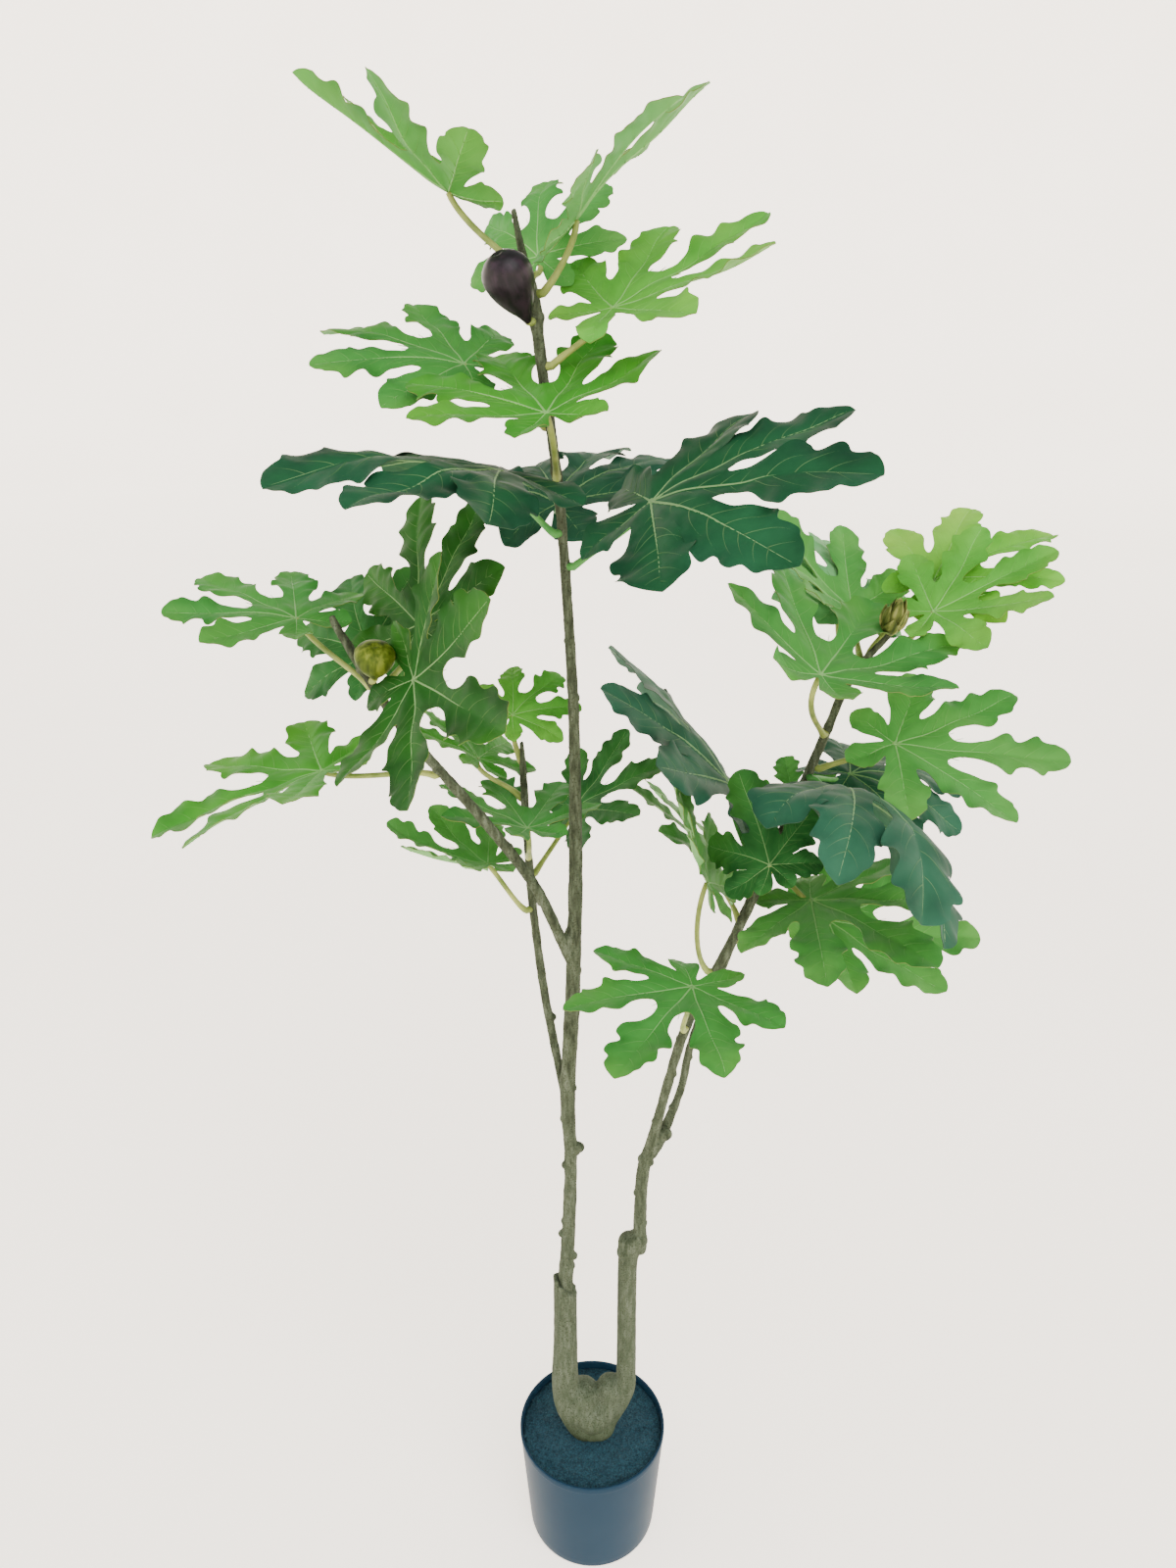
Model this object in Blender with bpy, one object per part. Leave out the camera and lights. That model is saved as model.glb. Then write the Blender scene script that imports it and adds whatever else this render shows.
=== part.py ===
"""Artificial fig tree in a plain round pot, 1.2 m tall.

Metres, Z up.  The origin is the middle of the pot's flat underside.
Every leaf is one solid: a short leaf stalk with its lobed blade.
"""
import math

import bpy
from mathutils import Matrix, Vector
from mathutils.bvhtree import BVHTree

# Pot and its fill
POT_HEIGHT = 0.117
POT_RIM_RADIUS = 0.0665
POT_BASE_RADIUS = 0.0585
POT_WALL = 0.0025
POT_FLOOR = 0.004
POT_SIDES = 48
FILL_TOP = 0.110

# Clear space between two touching pieces
GAP = 0.0003

# Leaves
BLADE_THICKNESS = 0.015
STALK_RADIUS = 0.0017
STALK_FOOT_RADIUS = 0.0024
STALK_SIDES = 6

# Lobes of a leaf, from the middle lobe to the hindmost pair: angle from the
# midrib in degrees, length and greatest half width as shares of the blade
LOBES = {
    "slender": ((0, 1.00, 0.185), (38, 0.88, 0.160), (80, 0.68, 0.145), (139, 0.36, 0.105)),
    "broad": ((0, 1.00, 0.215), (30, 0.90, 0.180), (65, 0.66, 0.180), (140, 0.38, 0.130)),
    "young": ((0, 1.00, 0.240), (50, 0.76, 0.200), (98, 0.52, 0.160), (145, 0.30, 0.100)),
}
# How far out the cuts between the lobes start, from the front to the back
CUTS = {
    "slender": (0.33, 0.28, 0.14),
    "broad": (0.36, 0.30, 0.15),
    "young": (0.46, 0.34, 0.16),
}
BACK_NOTCH = 0.04

# Edge of a lobe: how far out, and the half width there, both as shares
EDGE_MIDDLE = ((0.38, 0.42), (0.54, 0.62), (0.66, 1.00), (0.74, 0.72), (0.87, 0.70), (0.94, 0.34))
EDGE_SIDE = ((0.42, 0.62), (0.62, 1.00), (0.74, 0.76), (0.87, 0.70), (0.95, 0.34))
EDGE_LOW = ((0.42, 0.74), (0.66, 1.00), (0.86, 0.70), (0.95, 0.36))
EDGE_BACK = ((0.46, 0.90), (0.74, 1.00), (0.92, 0.55))
EDGES = (EDGE_MIDDLE, EDGE_SIDE, EDGE_LOW, EDGE_BACK)

# Limbs: points on the middle line with the radius there
LIMBS = {
    "leader": (
        (-0.024, -0.005, 0.3003, 0.0060), (-0.020, -0.005, 0.360, 0.0056),
        (-0.018, -0.005, 0.430, 0.0052), (-0.020, -0.005, 0.494, 0.0058),
        (-0.016, -0.005, 0.580, 0.0054), (-0.013, -0.005, 0.686, 0.0047),
        (-0.013, -0.005, 0.779, 0.0036), (-0.015, -0.005, 0.850, 0.0032),
        (-0.022, -0.005, 0.961, 0.0029), (-0.034, -0.005, 1.054, 0.0026),
        (-0.041, -0.005, 1.097, 0.0024), (-0.047, -0.005, 1.126, 0.0011),
    ),
    "left_bough": (
        (-0.024, -0.010, 0.640, 0.0036), (-0.040, -0.024, 0.690, 0.0035),
        (-0.068, -0.034, 0.740, 0.0034), (-0.098, -0.044, 0.786, 0.0031),
        (-0.127, -0.046, 0.826, 0.0029), (-0.160, -0.036, 0.880, 0.0025),
        (-0.166, -0.036, 0.894, 0.0014),
    ),
    "thin_stem": (
        (-0.028, 0.003, 0.497, 0.0030), (-0.037, 0.018, 0.569, 0.0030),
        (-0.045, 0.028, 0.634, 0.0029), (-0.049, 0.032, 0.691, 0.0027),
        (-0.051, 0.032, 0.748, 0.0025), (-0.052, 0.032, 0.781, 0.0012),
    ),
    "right_stem": (
        (0.042, 0.000, 0.3403, 0.0052), (0.040, 0.000, 0.376, 0.0049),
        (0.042, 0.000, 0.418, 0.0051), (0.050, 0.002, 0.440, 0.0064),
        (0.055, 0.002, 0.455, 0.0078),
    ),
    "right_inner_branch": (
        (0.050, -0.005, 0.4553, 0.0038), (0.063, -0.008, 0.507, 0.0037),
        (0.073, -0.009, 0.563, 0.0034), (0.092, -0.010, 0.615, 0.0031),
        (0.106, -0.012, 0.650, 0.0031), (0.118, -0.014, 0.684, 0.0026),
        (0.123, -0.014, 0.700, 0.0014),
    ),
    "right_outer_branch": (
        (0.060, 0.008, 0.4553, 0.0038), (0.071, 0.012, 0.487, 0.0037),
        (0.077, 0.014, 0.530, 0.0034), (0.096, 0.015, 0.590, 0.0032),
        (0.113, 0.015, 0.645, 0.0032), (0.134, 0.012, 0.708, 0.0030),
        (0.158, 0.008, 0.784, 0.0029), (0.175, 0.004, 0.838, 0.0025),
        (0.201, 0.001, 0.875, 0.0014),
    ),
}

# Limbs that grow out of the side of another: the carrier and the height
SEATED = {"left_bough": ("leader", 0.634), "thin_stem": ("leader", 0.488)}

# Leaves: mould, limb, height of the foot, middle of the blade's base, heading,
# pitch and roll in degrees, blade length, droop and side lift in degrees
LEAVES = {
    "crown_leaf_left_high": (
        "slender", "leader", 1.098, (-0.086, 0.017, 1.136), 196, 28, -1, 0.102, -18, 13),
    "crown_leaf_right_high": (
        "slender", "leader", 1.080, (-0.011, -0.012, 1.120), 17, 49, -14, 0.105, 20, 11),
    "crown_leaf_back_high": (
        "slender", "leader", 1.088, (-0.035, 0.049, 1.101), 96, 53, -25, 0.083, 36, -8),
    "crown_leaf_right": (
        "slender", "leader", 1.040, (0.011, -0.005, 1.073), 23, 24, 9, 0.115, -5, 5),
    "crown_leaf_left": (
        "slender", "leader", 1.005, (-0.085, 0.056, 1.037), 158, 21, -15, 0.113, 22, 1),
    "crown_leaf_front": (
        "slender", "leader", 0.975, (-0.028, -0.050, 1.018), 109, 13, -11, 0.119, 1, 9),
    "dark_leaf_left": (
        "broad", "leader", 0.940, (-0.057, -0.030, 0.982), 207, 16, -1, 0.145, 32, -5),
    "dark_leaf_back": (
        "broad", "leader", 0.955, (-0.025, 0.055, 0.947), 73, 26, -3, 0.126, 39, 5),
    "dark_leaf_right": (
        "broad", "leader", 0.918, (0.035, -0.026, 0.963), 324, 20, 31, 0.147, 24, 2),
    "left_leaf_outer": (
        "slender", "left_bough", 0.850, (-0.199, 0.006, 0.880), 143, 11, -3, 0.102, 12, 1),
    "left_leaf_back": (
        "slender", "left_bough", 0.860, (-0.159, 0.047, 0.842), 117, 35, -33, 0.098, 30, -6),
    "left_leaf_upright": (
        "slender", "left_bough", 0.845, (-0.118, 0.012, 0.874), 95, 40, -42, 0.111, -3, -6),
    "left_leaf_front": (
        "slender", "left_bough", 0.822, (-0.111, -0.070, 0.863), 304, 1, 62, 0.120, -7, 17),
    "left_leaf_low": (
        "slender", "left_bough", 0.790, (-0.185, -0.022, 0.781), 189, -15, 2, 0.125, 7, 10),
    "thin_leaf_top": (
        "slender", "thin_stem", 0.765, (-0.059, 0.047, 0.796), 48, 30, 23, 0.064, 44, 6),
    "thin_leaf_left": (
        "slender", "thin_stem", 0.735, (-0.089, 0.078, 0.749), 106, 11, 29, 0.081, 10, 5),
    "thin_leaf_middle": (
        "slender", "thin_stem", 0.690, (-0.047, -0.008, 0.731), 111, 0, 6, 0.091, -2, 11),
    "thin_leaf_low": (
        "slender", "thin_stem", 0.645, (-0.078, 0.014, 0.691), 173, 5, 6, 0.082, -32, 10),
    "thin_leaf_right": (
        "slender", "thin_stem", 0.672, (-0.014, 0.079, 0.707), 348, 33, 25, 0.085, 1, 7),
    "inner_leaf_dark": (
        "broad", "right_inner_branch", 0.694, (0.102, 0.039, 0.743), 143, 48, 27, 0.140, 16, -12),
    "inner_leaf_slanting": (
        "slender", "right_inner_branch", 0.655, (0.094, 0.058, 0.673), 120, 22, 38, 0.098, 9, 2),
    "inner_leaf_left": (
        "slender", "right_inner_branch", 0.612, (0.081, -0.022, 0.695), 107, 39, 57, 0.098, 1, 6),
    "inner_leaf_upright": (
        "young", "right_inner_branch", 0.696, (0.121, -0.041, 0.719), 105, 37, -29, 0.075, -3, -25),
    "outer_leaf_front_low": (
        "slender", "right_outer_branch", 0.690, (0.158, -0.012, 0.675), 303, 7, 9, 0.118, 6, 2),
    "outer_leaf_back_low": (
        "slender", "right_outer_branch", 0.625, (0.184, 0.041, 0.627), 357, -12, 16, 0.119, -14, 4),
    "outer_leaf_dark_drooping": (
        "broad", "right_outer_branch", 0.765, (0.170, -0.026, 0.767), 301, 21, -38, 0.152, 75, -12),
    "outer_leaf_right": (
        "slender", "right_outer_branch", 0.772, (0.210, 0.003, 0.791), 346, -2, 18, 0.116, -1, 2),
    "outer_leaf_dark_back": (
        "broad", "right_outer_branch", 0.758, (0.193, 0.054, 0.746), 19, -1, 13, 0.109, 31, -8),
    "outer_leaf_left": (
        "slender", "right_outer_branch", 0.798, (0.139, -0.070, 0.866), 64, 4, 20, 0.120, -12, 13),
    "outer_leaf_upright": (
        "young", "right_outer_branch", 0.838, (0.177, 0.065, 0.874), 84, 28, 21, 0.100, 25, 1),
    "top_leaf_right": (
        "slender", "right_outer_branch", 0.855, (0.232, 0.034, 0.898), 15, 27, 17, 0.099, 26, 9),
    "top_leaf_low": (
        "slender", "right_outer_branch", 0.842, (0.224, -0.002, 0.887), 5, 25, 18, 0.088, -4, 7),
    "top_leaf_back": (
        "slender", "right_outer_branch", 0.850, (0.184, 0.057, 0.871), 131, 29, 7, 0.104, -14, 9),
    "outer_leaf_small": (
        "slender", "right_outer_branch", 0.738, (0.164, 0.090, 0.693), 96, 33, -12, 0.068, 17, 0),
    "low_leaf_front": (
        "slender", "right_inner_branch", 0.563, (0.070, -0.053, 0.628), 240, 3, -5, 0.113, 12, 7),
}


def clear_scene():
    for thing in list(bpy.data.objects):
        bpy.data.objects.remove(thing, do_unlink=True)


def add_object(name, points, faces, material, smooth=True):
    mesh = bpy.data.meshes.new(name)
    mesh.from_pydata([tuple(p) for p in points], [], faces)
    mesh.validate()
    for polygon in mesh.polygons:
        polygon.use_smooth = smooth
    mesh.materials.append(material)
    thing = bpy.data.objects.new(name, mesh)
    bpy.context.scene.collection.objects.link(thing)
    return thing


def add_material(name, colour, roughness):
    material = bpy.data.materials.new(name)
    material.use_nodes = True
    shader = material.node_tree.nodes["Principled BSDF"]
    shader.inputs["Base Color"].default_value = (*colour, 1.0)
    shader.inputs["Roughness"].default_value = roughness
    shader.inputs["Metallic"].default_value = 0.0
    return material


def lathe(profile, sides, centre=(0.0, 0.0)):
    """Closed body turned from a profile that starts and ends on the axis."""
    points = [Vector((centre[0], centre[1], profile[0][1]))]
    for radius, height in profile[1:-1]:
        for k in range(sides):
            turn = 2 * math.pi * k / sides
            points.append(Vector((
                centre[0] + radius * math.cos(turn),
                centre[1] + radius * math.sin(turn), height)))
    points.append(Vector((centre[0], centre[1], profile[-1][1])))
    rings = len(profile) - 2
    last = len(points) - 1
    faces = []
    for k in range(sides):
        n = (k + 1) % sides
        faces.append((0, 1 + n, 1 + k))
        for ring in range(rings - 1):
            low = 1 + ring * sides
            faces.append((low + k, low + n, low + sides + n, low + sides + k))
        high = 1 + (rings - 1) * sides
        faces.append((high + k, high + n, last))
    return points, faces


def smooth_path(points, steps):
    """Curve through the points, with the radius carried along."""
    rows = [Vector(p) for p in points]
    rows = [rows[0] * 2 - rows[1]] + rows + [rows[-1] * 2 - rows[-2]]
    path = []
    for i in range(1, len(rows) - 2):
        a, b, c, d = rows[i - 1:i + 3]
        for s in range(steps):
            t = s / steps
            path.append(0.5 * (2 * b + (c - a) * t + (2 * a - 5 * b + 4 * c - d) * t * t
                               + (3 * b - a - 3 * c + d) * t * t * t))
    path.append(rows[-2])
    return path


def frames(path, first_normal):
    """Ring frames carried along a path without twist."""
    result = []
    side = first_normal
    for i, point in enumerate(path):
        ahead = path[min(i + 1, len(path) - 1)]
        behind = path[max(i - 1, 0)]
        forward = (ahead - behind).normalized()
        side = (side - forward * side.dot(forward)).normalized()
        result.append((point, side, forward.cross(side)))
    return result


def tube(path, radii, sides, first_normal=Vector((1, 0, 0)), knots=0.0):
    """Closed tapering tube; knots is the height of its bark swellings."""
    points = []
    rings = frames(path, first_normal)
    for i, (point, across, over) in enumerate(rings):
        for k in range(sides):
            turn = 2 * math.pi * k / sides
            swell = 1 + knots * math.sin(2.3 * i + 1.7 * k) * math.sin(0.9 * i)
            points.append(point + (across * math.cos(turn) + over * math.sin(turn))
                          * radii[i] * swell)
    faces = []
    for i in range(len(path) - 1):
        for k in range(sides):
            n = (k + 1) % sides
            low = i * sides
            faces.append((low + k, low + n, low + sides + n, low + sides + k))
    faces.append(tuple(reversed(range(sides))))
    top = (len(path) - 1) * sides
    faces.append(tuple(range(top, top + sides)))
    return points, faces


def seat(limb, height, toward, radius):
    """Foot on a limb's bark, square to its grain: the disc's middle and outward direction."""
    axis, grain, girth = limb_at(limb, height)
    out = toward - axis
    out = (out - grain * out.dot(grain)).normalized()
    side = out.orthogonal().normalized()
    over = out.cross(side)
    foot = axis + out * (girth * 1.3 + 0.002)
    for _ in range(12):
        disc = [foot]
        for share in (0.5, 1.0):
            for k in range(12):
                turn = math.pi * k / 6
                disc.append(foot + (side * math.cos(turn) + over * math.sin(turn))
                            * radius * share)
        clear = min(BARK[limb].find_nearest(p)[3] for p in disc)
        foot -= out * (clear - GAP)
    return foot, out


def limb_at(name, height):
    """Middle point, direction and radius of a limb at a height."""
    path = smooth_path([Vector(p) for p in LIMBS[name]], 6)
    for low, high in zip(path, path[1:]):
        if low[2] <= height <= high[2]:
            break
    share = min(max((height - low[2]) / (high[2] - low[2]), 0.0), 1.0)
    here = low.lerp(high, share)
    return Vector(here[:3]), Vector((high - low)[:3]).normalized(), here[3]


def lobe_edge(kind, lobe):
    """Right edge, tip and left edge of one lobe of the flat blade."""
    degrees, length, width = LOBES[kind][abs(lobe)]
    turn = math.radians(degrees) * (1 if lobe >= 0 else -1)
    along = Vector((math.cos(turn), math.sin(turn)))
    across = Vector((-along.y, along.x))
    steps = EDGES[abs(lobe)]
    right = [along * length * s - across * width * w for s, w in steps]
    left = [along * length * s + across * width * w for s, w in reversed(steps)]
    return right, along * length, left


def blade_layout(kind):
    """Flat outline in shares of the blade length, and its flat triangles."""
    outline = []
    triangles = []
    ring = []
    for lobe in range(-3, 4):
        right, tip, left = lobe_edge(kind, lobe)
        first = len(outline)
        outline += right + [tip] + left
        count = len(right)
        last = first + 2 * count
        for k in range(count - 1):
            triangles.append((first + k, first + k + 1, last - k - 1))
            triangles.append((first + k, last - k - 1, last - k))
        triangles.append((first + count - 1, first + count, first + count + 1))
        ring += [first, last]
        if lobe < 3:
            here = LOBES[kind][abs(lobe)][0] * (1 if lobe >= 0 else -1)
            ahead = LOBES[kind][abs(lobe + 1)][0] * (1 if lobe + 1 >= 0 else -1)
            turn = math.radians((here + ahead) / 2)
            reach = CUTS[kind][min(abs(lobe), abs(lobe + 1))]
            ring.append(len(outline))
            outline.append(Vector((math.cos(turn), math.sin(turn))) * reach)
    ring.append(len(outline))
    outline.append(Vector((-BACK_NOTCH, 0.0)))
    return outline, triangles, ring


def bend(point, length, droop, lift):
    """Flat blade point to its drooping and folded place, in the leaf's frame."""
    x, y = point.x * length, point.y * length
    reach = math.hypot(x, y) + 1e-9
    curl = math.radians(droop) / length
    if abs(curl) < 1e-6:
        curl = 1e-6
    out = math.sin(curl * reach) / curl / reach
    drop = (1 - math.cos(curl * reach)) / curl
    soft = math.hypot(y * out, 0.04 * length) - 0.04 * length
    fold = math.radians(lift)
    return Vector((x * out, y * out * math.cos(fold), soft * math.sin(fold) - drop))


def leaf_frame(hub, heading, pitch, roll):
    h, p, r = (math.radians(a) for a in (heading, pitch, roll))
    ahead = Vector((math.cos(p) * math.cos(h), math.cos(p) * math.sin(h), math.sin(p)))
    left = Vector((-math.sin(h), math.cos(h), 0.0))
    up = ahead.cross(left)
    left_rolled = left * math.cos(r) + up * math.sin(r)
    up_rolled = ahead.cross(left_rolled)
    turn = Matrix((ahead, left_rolled, up_rolled)).transposed()
    return turn.to_4x4(), Vector(hub)


def stalk_path(foot, out, hub, ahead, up, foot_length=0.004, steps=5):
    """From square off the limb to the underside of the blade."""
    span = (hub - foot).length
    start = foot + out * foot_length
    arrive = (ahead * 0.75 + up * 0.66).normalized()
    b = start + out * span * 0.22 + Vector((0, 0, span * 0.10))
    c = hub - arrive * span * 0.30
    path = [foot]
    for s in range(steps):
        t = s / steps
        q = 1 - t
        path.append(start * q ** 3 + b * 3 * q * q * t + c * 3 * q * t * t + hub * t ** 3)
    return path


def leaf(name, row, material):
    kind, limb, height, hub, heading, pitch, roll, length, droop, lift = row
    outline, triangles, ring = blade_layout(kind)
    turn, place = leaf_frame(hub, heading, pitch, roll)
    turn3 = turn.to_3x3()
    half = length * BLADE_THICKNESS / 2
    count = len(outline)

    def upper_lower(flat):
        middle = bend(flat, length, droop, lift)
        e = 0.01
        dx = bend(flat + Vector((e, 0)), length, droop, lift) - middle
        dy = bend(flat + Vector((0, e)), length, droop, lift) - middle
        normal = dx.cross(dy).normalized()
        return middle + normal * half, middle - normal * half

    pairs = [upper_lower(p) for p in outline]
    points = [p[0] for p in pairs] + [p[1] for p in pairs]
    faces = list(triangles) + [tuple(count + i for i in reversed(t)) for t in triangles]
    for i in range(count):
        n = (i + 1) % count
        faces.append((i, count + i, count + n, n))
    hub_top = len(points)
    points.append(Vector((0, 0, half)))
    size = len(ring)
    for i in range(size):
        faces.append((hub_top, ring[i], ring[(i + 1) % size]))

    # Stalk ring on the underside, stitched to the blade round it
    base = len(points)
    for k in range(STALK_SIDES):
        a = math.pi + 2 * math.pi * (k + 0.5) / STALK_SIDES
        points.append(Vector((STALK_RADIUS * 1.15 * math.cos(a),
                              STALK_RADIUS * 1.15 * math.sin(a), -half)))
    ring_angles = []
    for index in ring:
        flat = outline[index]
        ring_angles.append(math.atan2(flat.y, flat.x) % (2 * math.pi))
    # the ring starts just after the back notch and goes round leftwards
    order = [(a - math.pi) % (2 * math.pi) if i < size - 1 else 2 * math.pi
             for i, a in enumerate(ring_angles)]
    inner = 0
    outer = size - 1
    previous = 0.0
    inner_turn = [2 * math.pi * (k + 0.5) / STALK_SIDES for k in range(STALK_SIDES)]
    current_inner = STALK_SIDES - 1
    inner_used = 0
    first_inner = current_inner
    current_outer = size - 1
    for step in range(size):
        target = order[step]
        while inner_used < STALK_SIDES and inner_turn[inner_used] < target:
            nxt = inner_used
            faces.append((base + current_inner, base + nxt, count + ring[current_outer]))
            current_inner = nxt
            inner_used += 1
        faces.append((count + ring[current_outer], base + current_inner,
                      count + ring[step]))
        current_outer = step

    points = [place + turn3 @ p for p in points]
    hub_point = place - turn3 @ Vector((0, 0, half))
    foot, out = seat(limb, height, hub_point, STALK_FOOT_RADIUS)
    ahead = turn3 @ Vector((1, 0, 0))
    up = turn3 @ Vector((0, 0, 1))
    path = stalk_path(foot, out, hub_point, ahead, up)
    radii = [STALK_FOOT_RADIUS, STALK_FOOT_RADIUS * 0.95]
    radii += [STALK_RADIUS] * (len(path) - 2)
    rings = []
    side = turn3 @ Vector((-math.cos(math.pi / STALK_SIDES), -math.sin(math.pi / STALK_SIDES), 0))
    for i in reversed(range(len(path) - 1)):
        ahead_point = path[i + 1]
        behind = path[max(i - 1, 0)]
        forward = (ahead_point - behind).normalized()
        side = (side - forward * side.dot(forward)).normalized()
        over = forward.cross(side)
        start = len(points)
        for k in range(STALK_SIDES):
            a = 2 * math.pi * k / STALK_SIDES
            points.append(path[i] + (side * math.cos(a) + over * math.sin(a)) * radii[i])
        rings.append(start)
    above = base
    for start in rings:
        for k in range(STALK_SIDES):
            n = (k + 1) % STALK_SIDES
            faces.append((start + k, start + n, above + n, above + k))
        above = start
    faces.append(tuple(rings[-1] + k for k in reversed(range(STALK_SIDES))))
    return add_object(name, points, faces, material)


def pot_profile():
    inner_rim = POT_RIM_RADIUS - POT_WALL
    inner_base = POT_BASE_RADIUS - POT_WALL
    return [
        (0.0, 0.0), (POT_BASE_RADIUS - 0.002, 0.0), (POT_BASE_RADIUS, 0.002),
        (POT_RIM_RADIUS, POT_HEIGHT - 0.001), (POT_RIM_RADIUS - 0.001, POT_HEIGHT),
        (inner_rim + 0.0006, POT_HEIGHT), (inner_rim, POT_HEIGHT - 0.001),
        (inner_base, POT_FLOOR), (0.0, POT_FLOOR)]


def wall_inside(height):
    share = (height - POT_FLOOR) / (POT_HEIGHT - 0.001 - POT_FLOOR)
    return POT_BASE_RADIUS - POT_WALL + share * (POT_RIM_RADIUS - POT_BASE_RADIUS)


def fill_profile():
    low = POT_FLOOR + GAP
    return [
        (0.0, low), (wall_inside(low) - GAP, low),
        (wall_inside(FILL_TOP) - GAP, FILL_TOP), (0.0, FILL_TOP)]


def join(name, bodies, material):
    """One solid from several overlapping closed bodies."""
    things = [add_object(name + "_" + str(i), p, f, material) for i, (p, f) in enumerate(bodies)]
    whole = things[0]
    whole.name = name
    for other in things[1:]:
        union = whole.modifiers.new("join", "BOOLEAN")
        union.operation = "UNION"
        union.solver = "EXACT"
        union.object = other
        depsgraph = bpy.context.evaluated_depsgraph_get()
        mesh = bpy.data.meshes.new_from_object(whole.evaluated_get(depsgraph))
        whole.modifiers.clear()
        whole.data = mesh
        bpy.data.objects.remove(other, do_unlink=True)
    for polygon in whole.data.polygons:
        polygon.use_smooth = True
    return whole


def trunk(material):
    """Two thick stubs that rise from one swollen root, cut flat on the fill."""
    foot = FILL_TOP + GAP
    left = smooth_path([Vector(p) for p in (
        (-0.006, -0.002, foot, 0.0210), (-0.012, -0.003, 0.128, 0.0195),
        (-0.021, -0.005, 0.152, 0.0140), (-0.025, -0.005, 0.187, 0.0112),
        (-0.024, -0.005, 0.250, 0.0098), (-0.0235, -0.005, 0.300, 0.0094))], 3)
    right = smooth_path([Vector(p) for p in (
        (0.008, 0.000, foot, 0.0190), (0.015, 0.000, 0.128, 0.0165),
        (0.026, 0.000, 0.150, 0.0105), (0.031, 0.000, 0.181, 0.0086),
        (0.030, 0.000, 0.300, 0.0080), (0.032, 0.000, 0.328, 0.0084),
        (0.037, 0.000, 0.340, 0.0088))], 3)
    bodies = []
    for path, base in ((left, 0), (right, 1)):
        spine = [Vector(p[:3]) for p in path]
        spine[0].z = foot
        points, faces = tube(spine, [p[3] for p in path], 10, Vector((1, 0, 0)), 0.03)
        for ring in (0, 1, 2, 3, 4, len(spine) - 1):
            for k in range(10):
                points[ring * 10 + k].z = spine[ring].z
        bodies.append((points, faces))
    return join("trunk", bodies, material)


def limb(name, material, sides=8, steps=3):
    """One tapering limb, with its outside kept so that stalks can be seated on it."""
    path = smooth_path([Vector(p) for p in LIMBS[name]], steps)
    if name in SEATED:
        carrier, height = SEATED[name]
        foot, out = seat(carrier, height, Vector(path[1][:3]), path[0][3])
        path = [Vector((*foot, path[0][3])), Vector((*(foot + out * 0.003), path[0][3]))] + path[1:]
    points, faces = tube([Vector(p[:3]) for p in path], [p[3] for p in path], sides,
                         Vector((1, 0, 0)), 0.06)
    flat_rings = {"leader": (0,), "right_stem": (0, -1), "right_inner_branch": (0,),
                  "right_outer_branch": (0,)}
    for ring in flat_rings.get(name, ()):
        ring %= len(path)
        for k in range(sides):
            points[ring * sides + k].z = path[ring][2]
    BARK[name] = BVHTree.FromPolygons(points, faces)
    return add_object(name, points, faces, material)


def fig(name, limb_name, height, heart, length, width, material):
    """Pear-shaped fruit on a short stalk, its wide end away from the limb."""
    heart = Vector(heart)
    foot, out = seat(limb_name, height, heart, 0.0022)
    start = foot + out * 0.003
    run = (heart - start).normalized()
    shape = ((0.0, 0.13), (0.10, 0.26), (0.24, 0.52), (0.42, 0.80), (0.60, 0.98),
             (0.74, 1.00), (0.86, 0.84), (0.95, 0.52), (1.0, 0.20))
    spine = [foot]
    radii = [0.0022]
    for share, wide in shape:
        spine.append(start + run * length * share)
        radii.append(wide * width / 2)
    points, faces = tube(spine, radii, 12, Vector((0, 1, 0)))
    return add_object(name, points, faces, material)


BARK = {}
clear_scene()
pot_plastic = add_material("pot_plastic", (0.020, 0.035, 0.050), 0.35)
fill_grit = add_material("pot_fill", (0.012, 0.035, 0.042), 0.9)
bark = add_material("bark", (0.190, 0.200, 0.115), 0.85)
leaf_green = add_material("leaf_green", (0.090, 0.280, 0.055), 0.6)
leaf_dark = add_material("leaf_dark", (0.022, 0.105, 0.055), 0.55)
fig_purple = add_material("fig_purple", (0.035, 0.015, 0.028), 0.4)
fig_green = add_material("fig_green", (0.250, 0.300, 0.060), 0.5)

add_object("pot", *lathe(pot_profile(), POT_SIDES), pot_plastic)
add_object("pot_fill", *lathe(fill_profile(), POT_SIDES), fill_grit)
trunk(bark)
for limb_name in LIMBS:
    limb(limb_name, bark)
for leaf_name, row in LEAVES.items():
    leaf(leaf_name, row, leaf_dark if row[0] == "broad" else leaf_green)
fig("fig_purple", "leader", 1.066, (-0.062, -0.036, 1.118), 0.044, 0.030, fig_purple)
fig("fig_green", "left_bough", 0.852, (-0.135, -0.060, 0.890), 0.028, 0.026, fig_green)
fig("fig_bud", "right_outer_branch", 0.872, (0.199, -0.015, 0.899), 0.028, 0.015, fig_green)
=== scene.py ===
import math
import random

import bmesh
import bpy
import numpy as np
from mathutils import Matrix, Vector, noise


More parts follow.
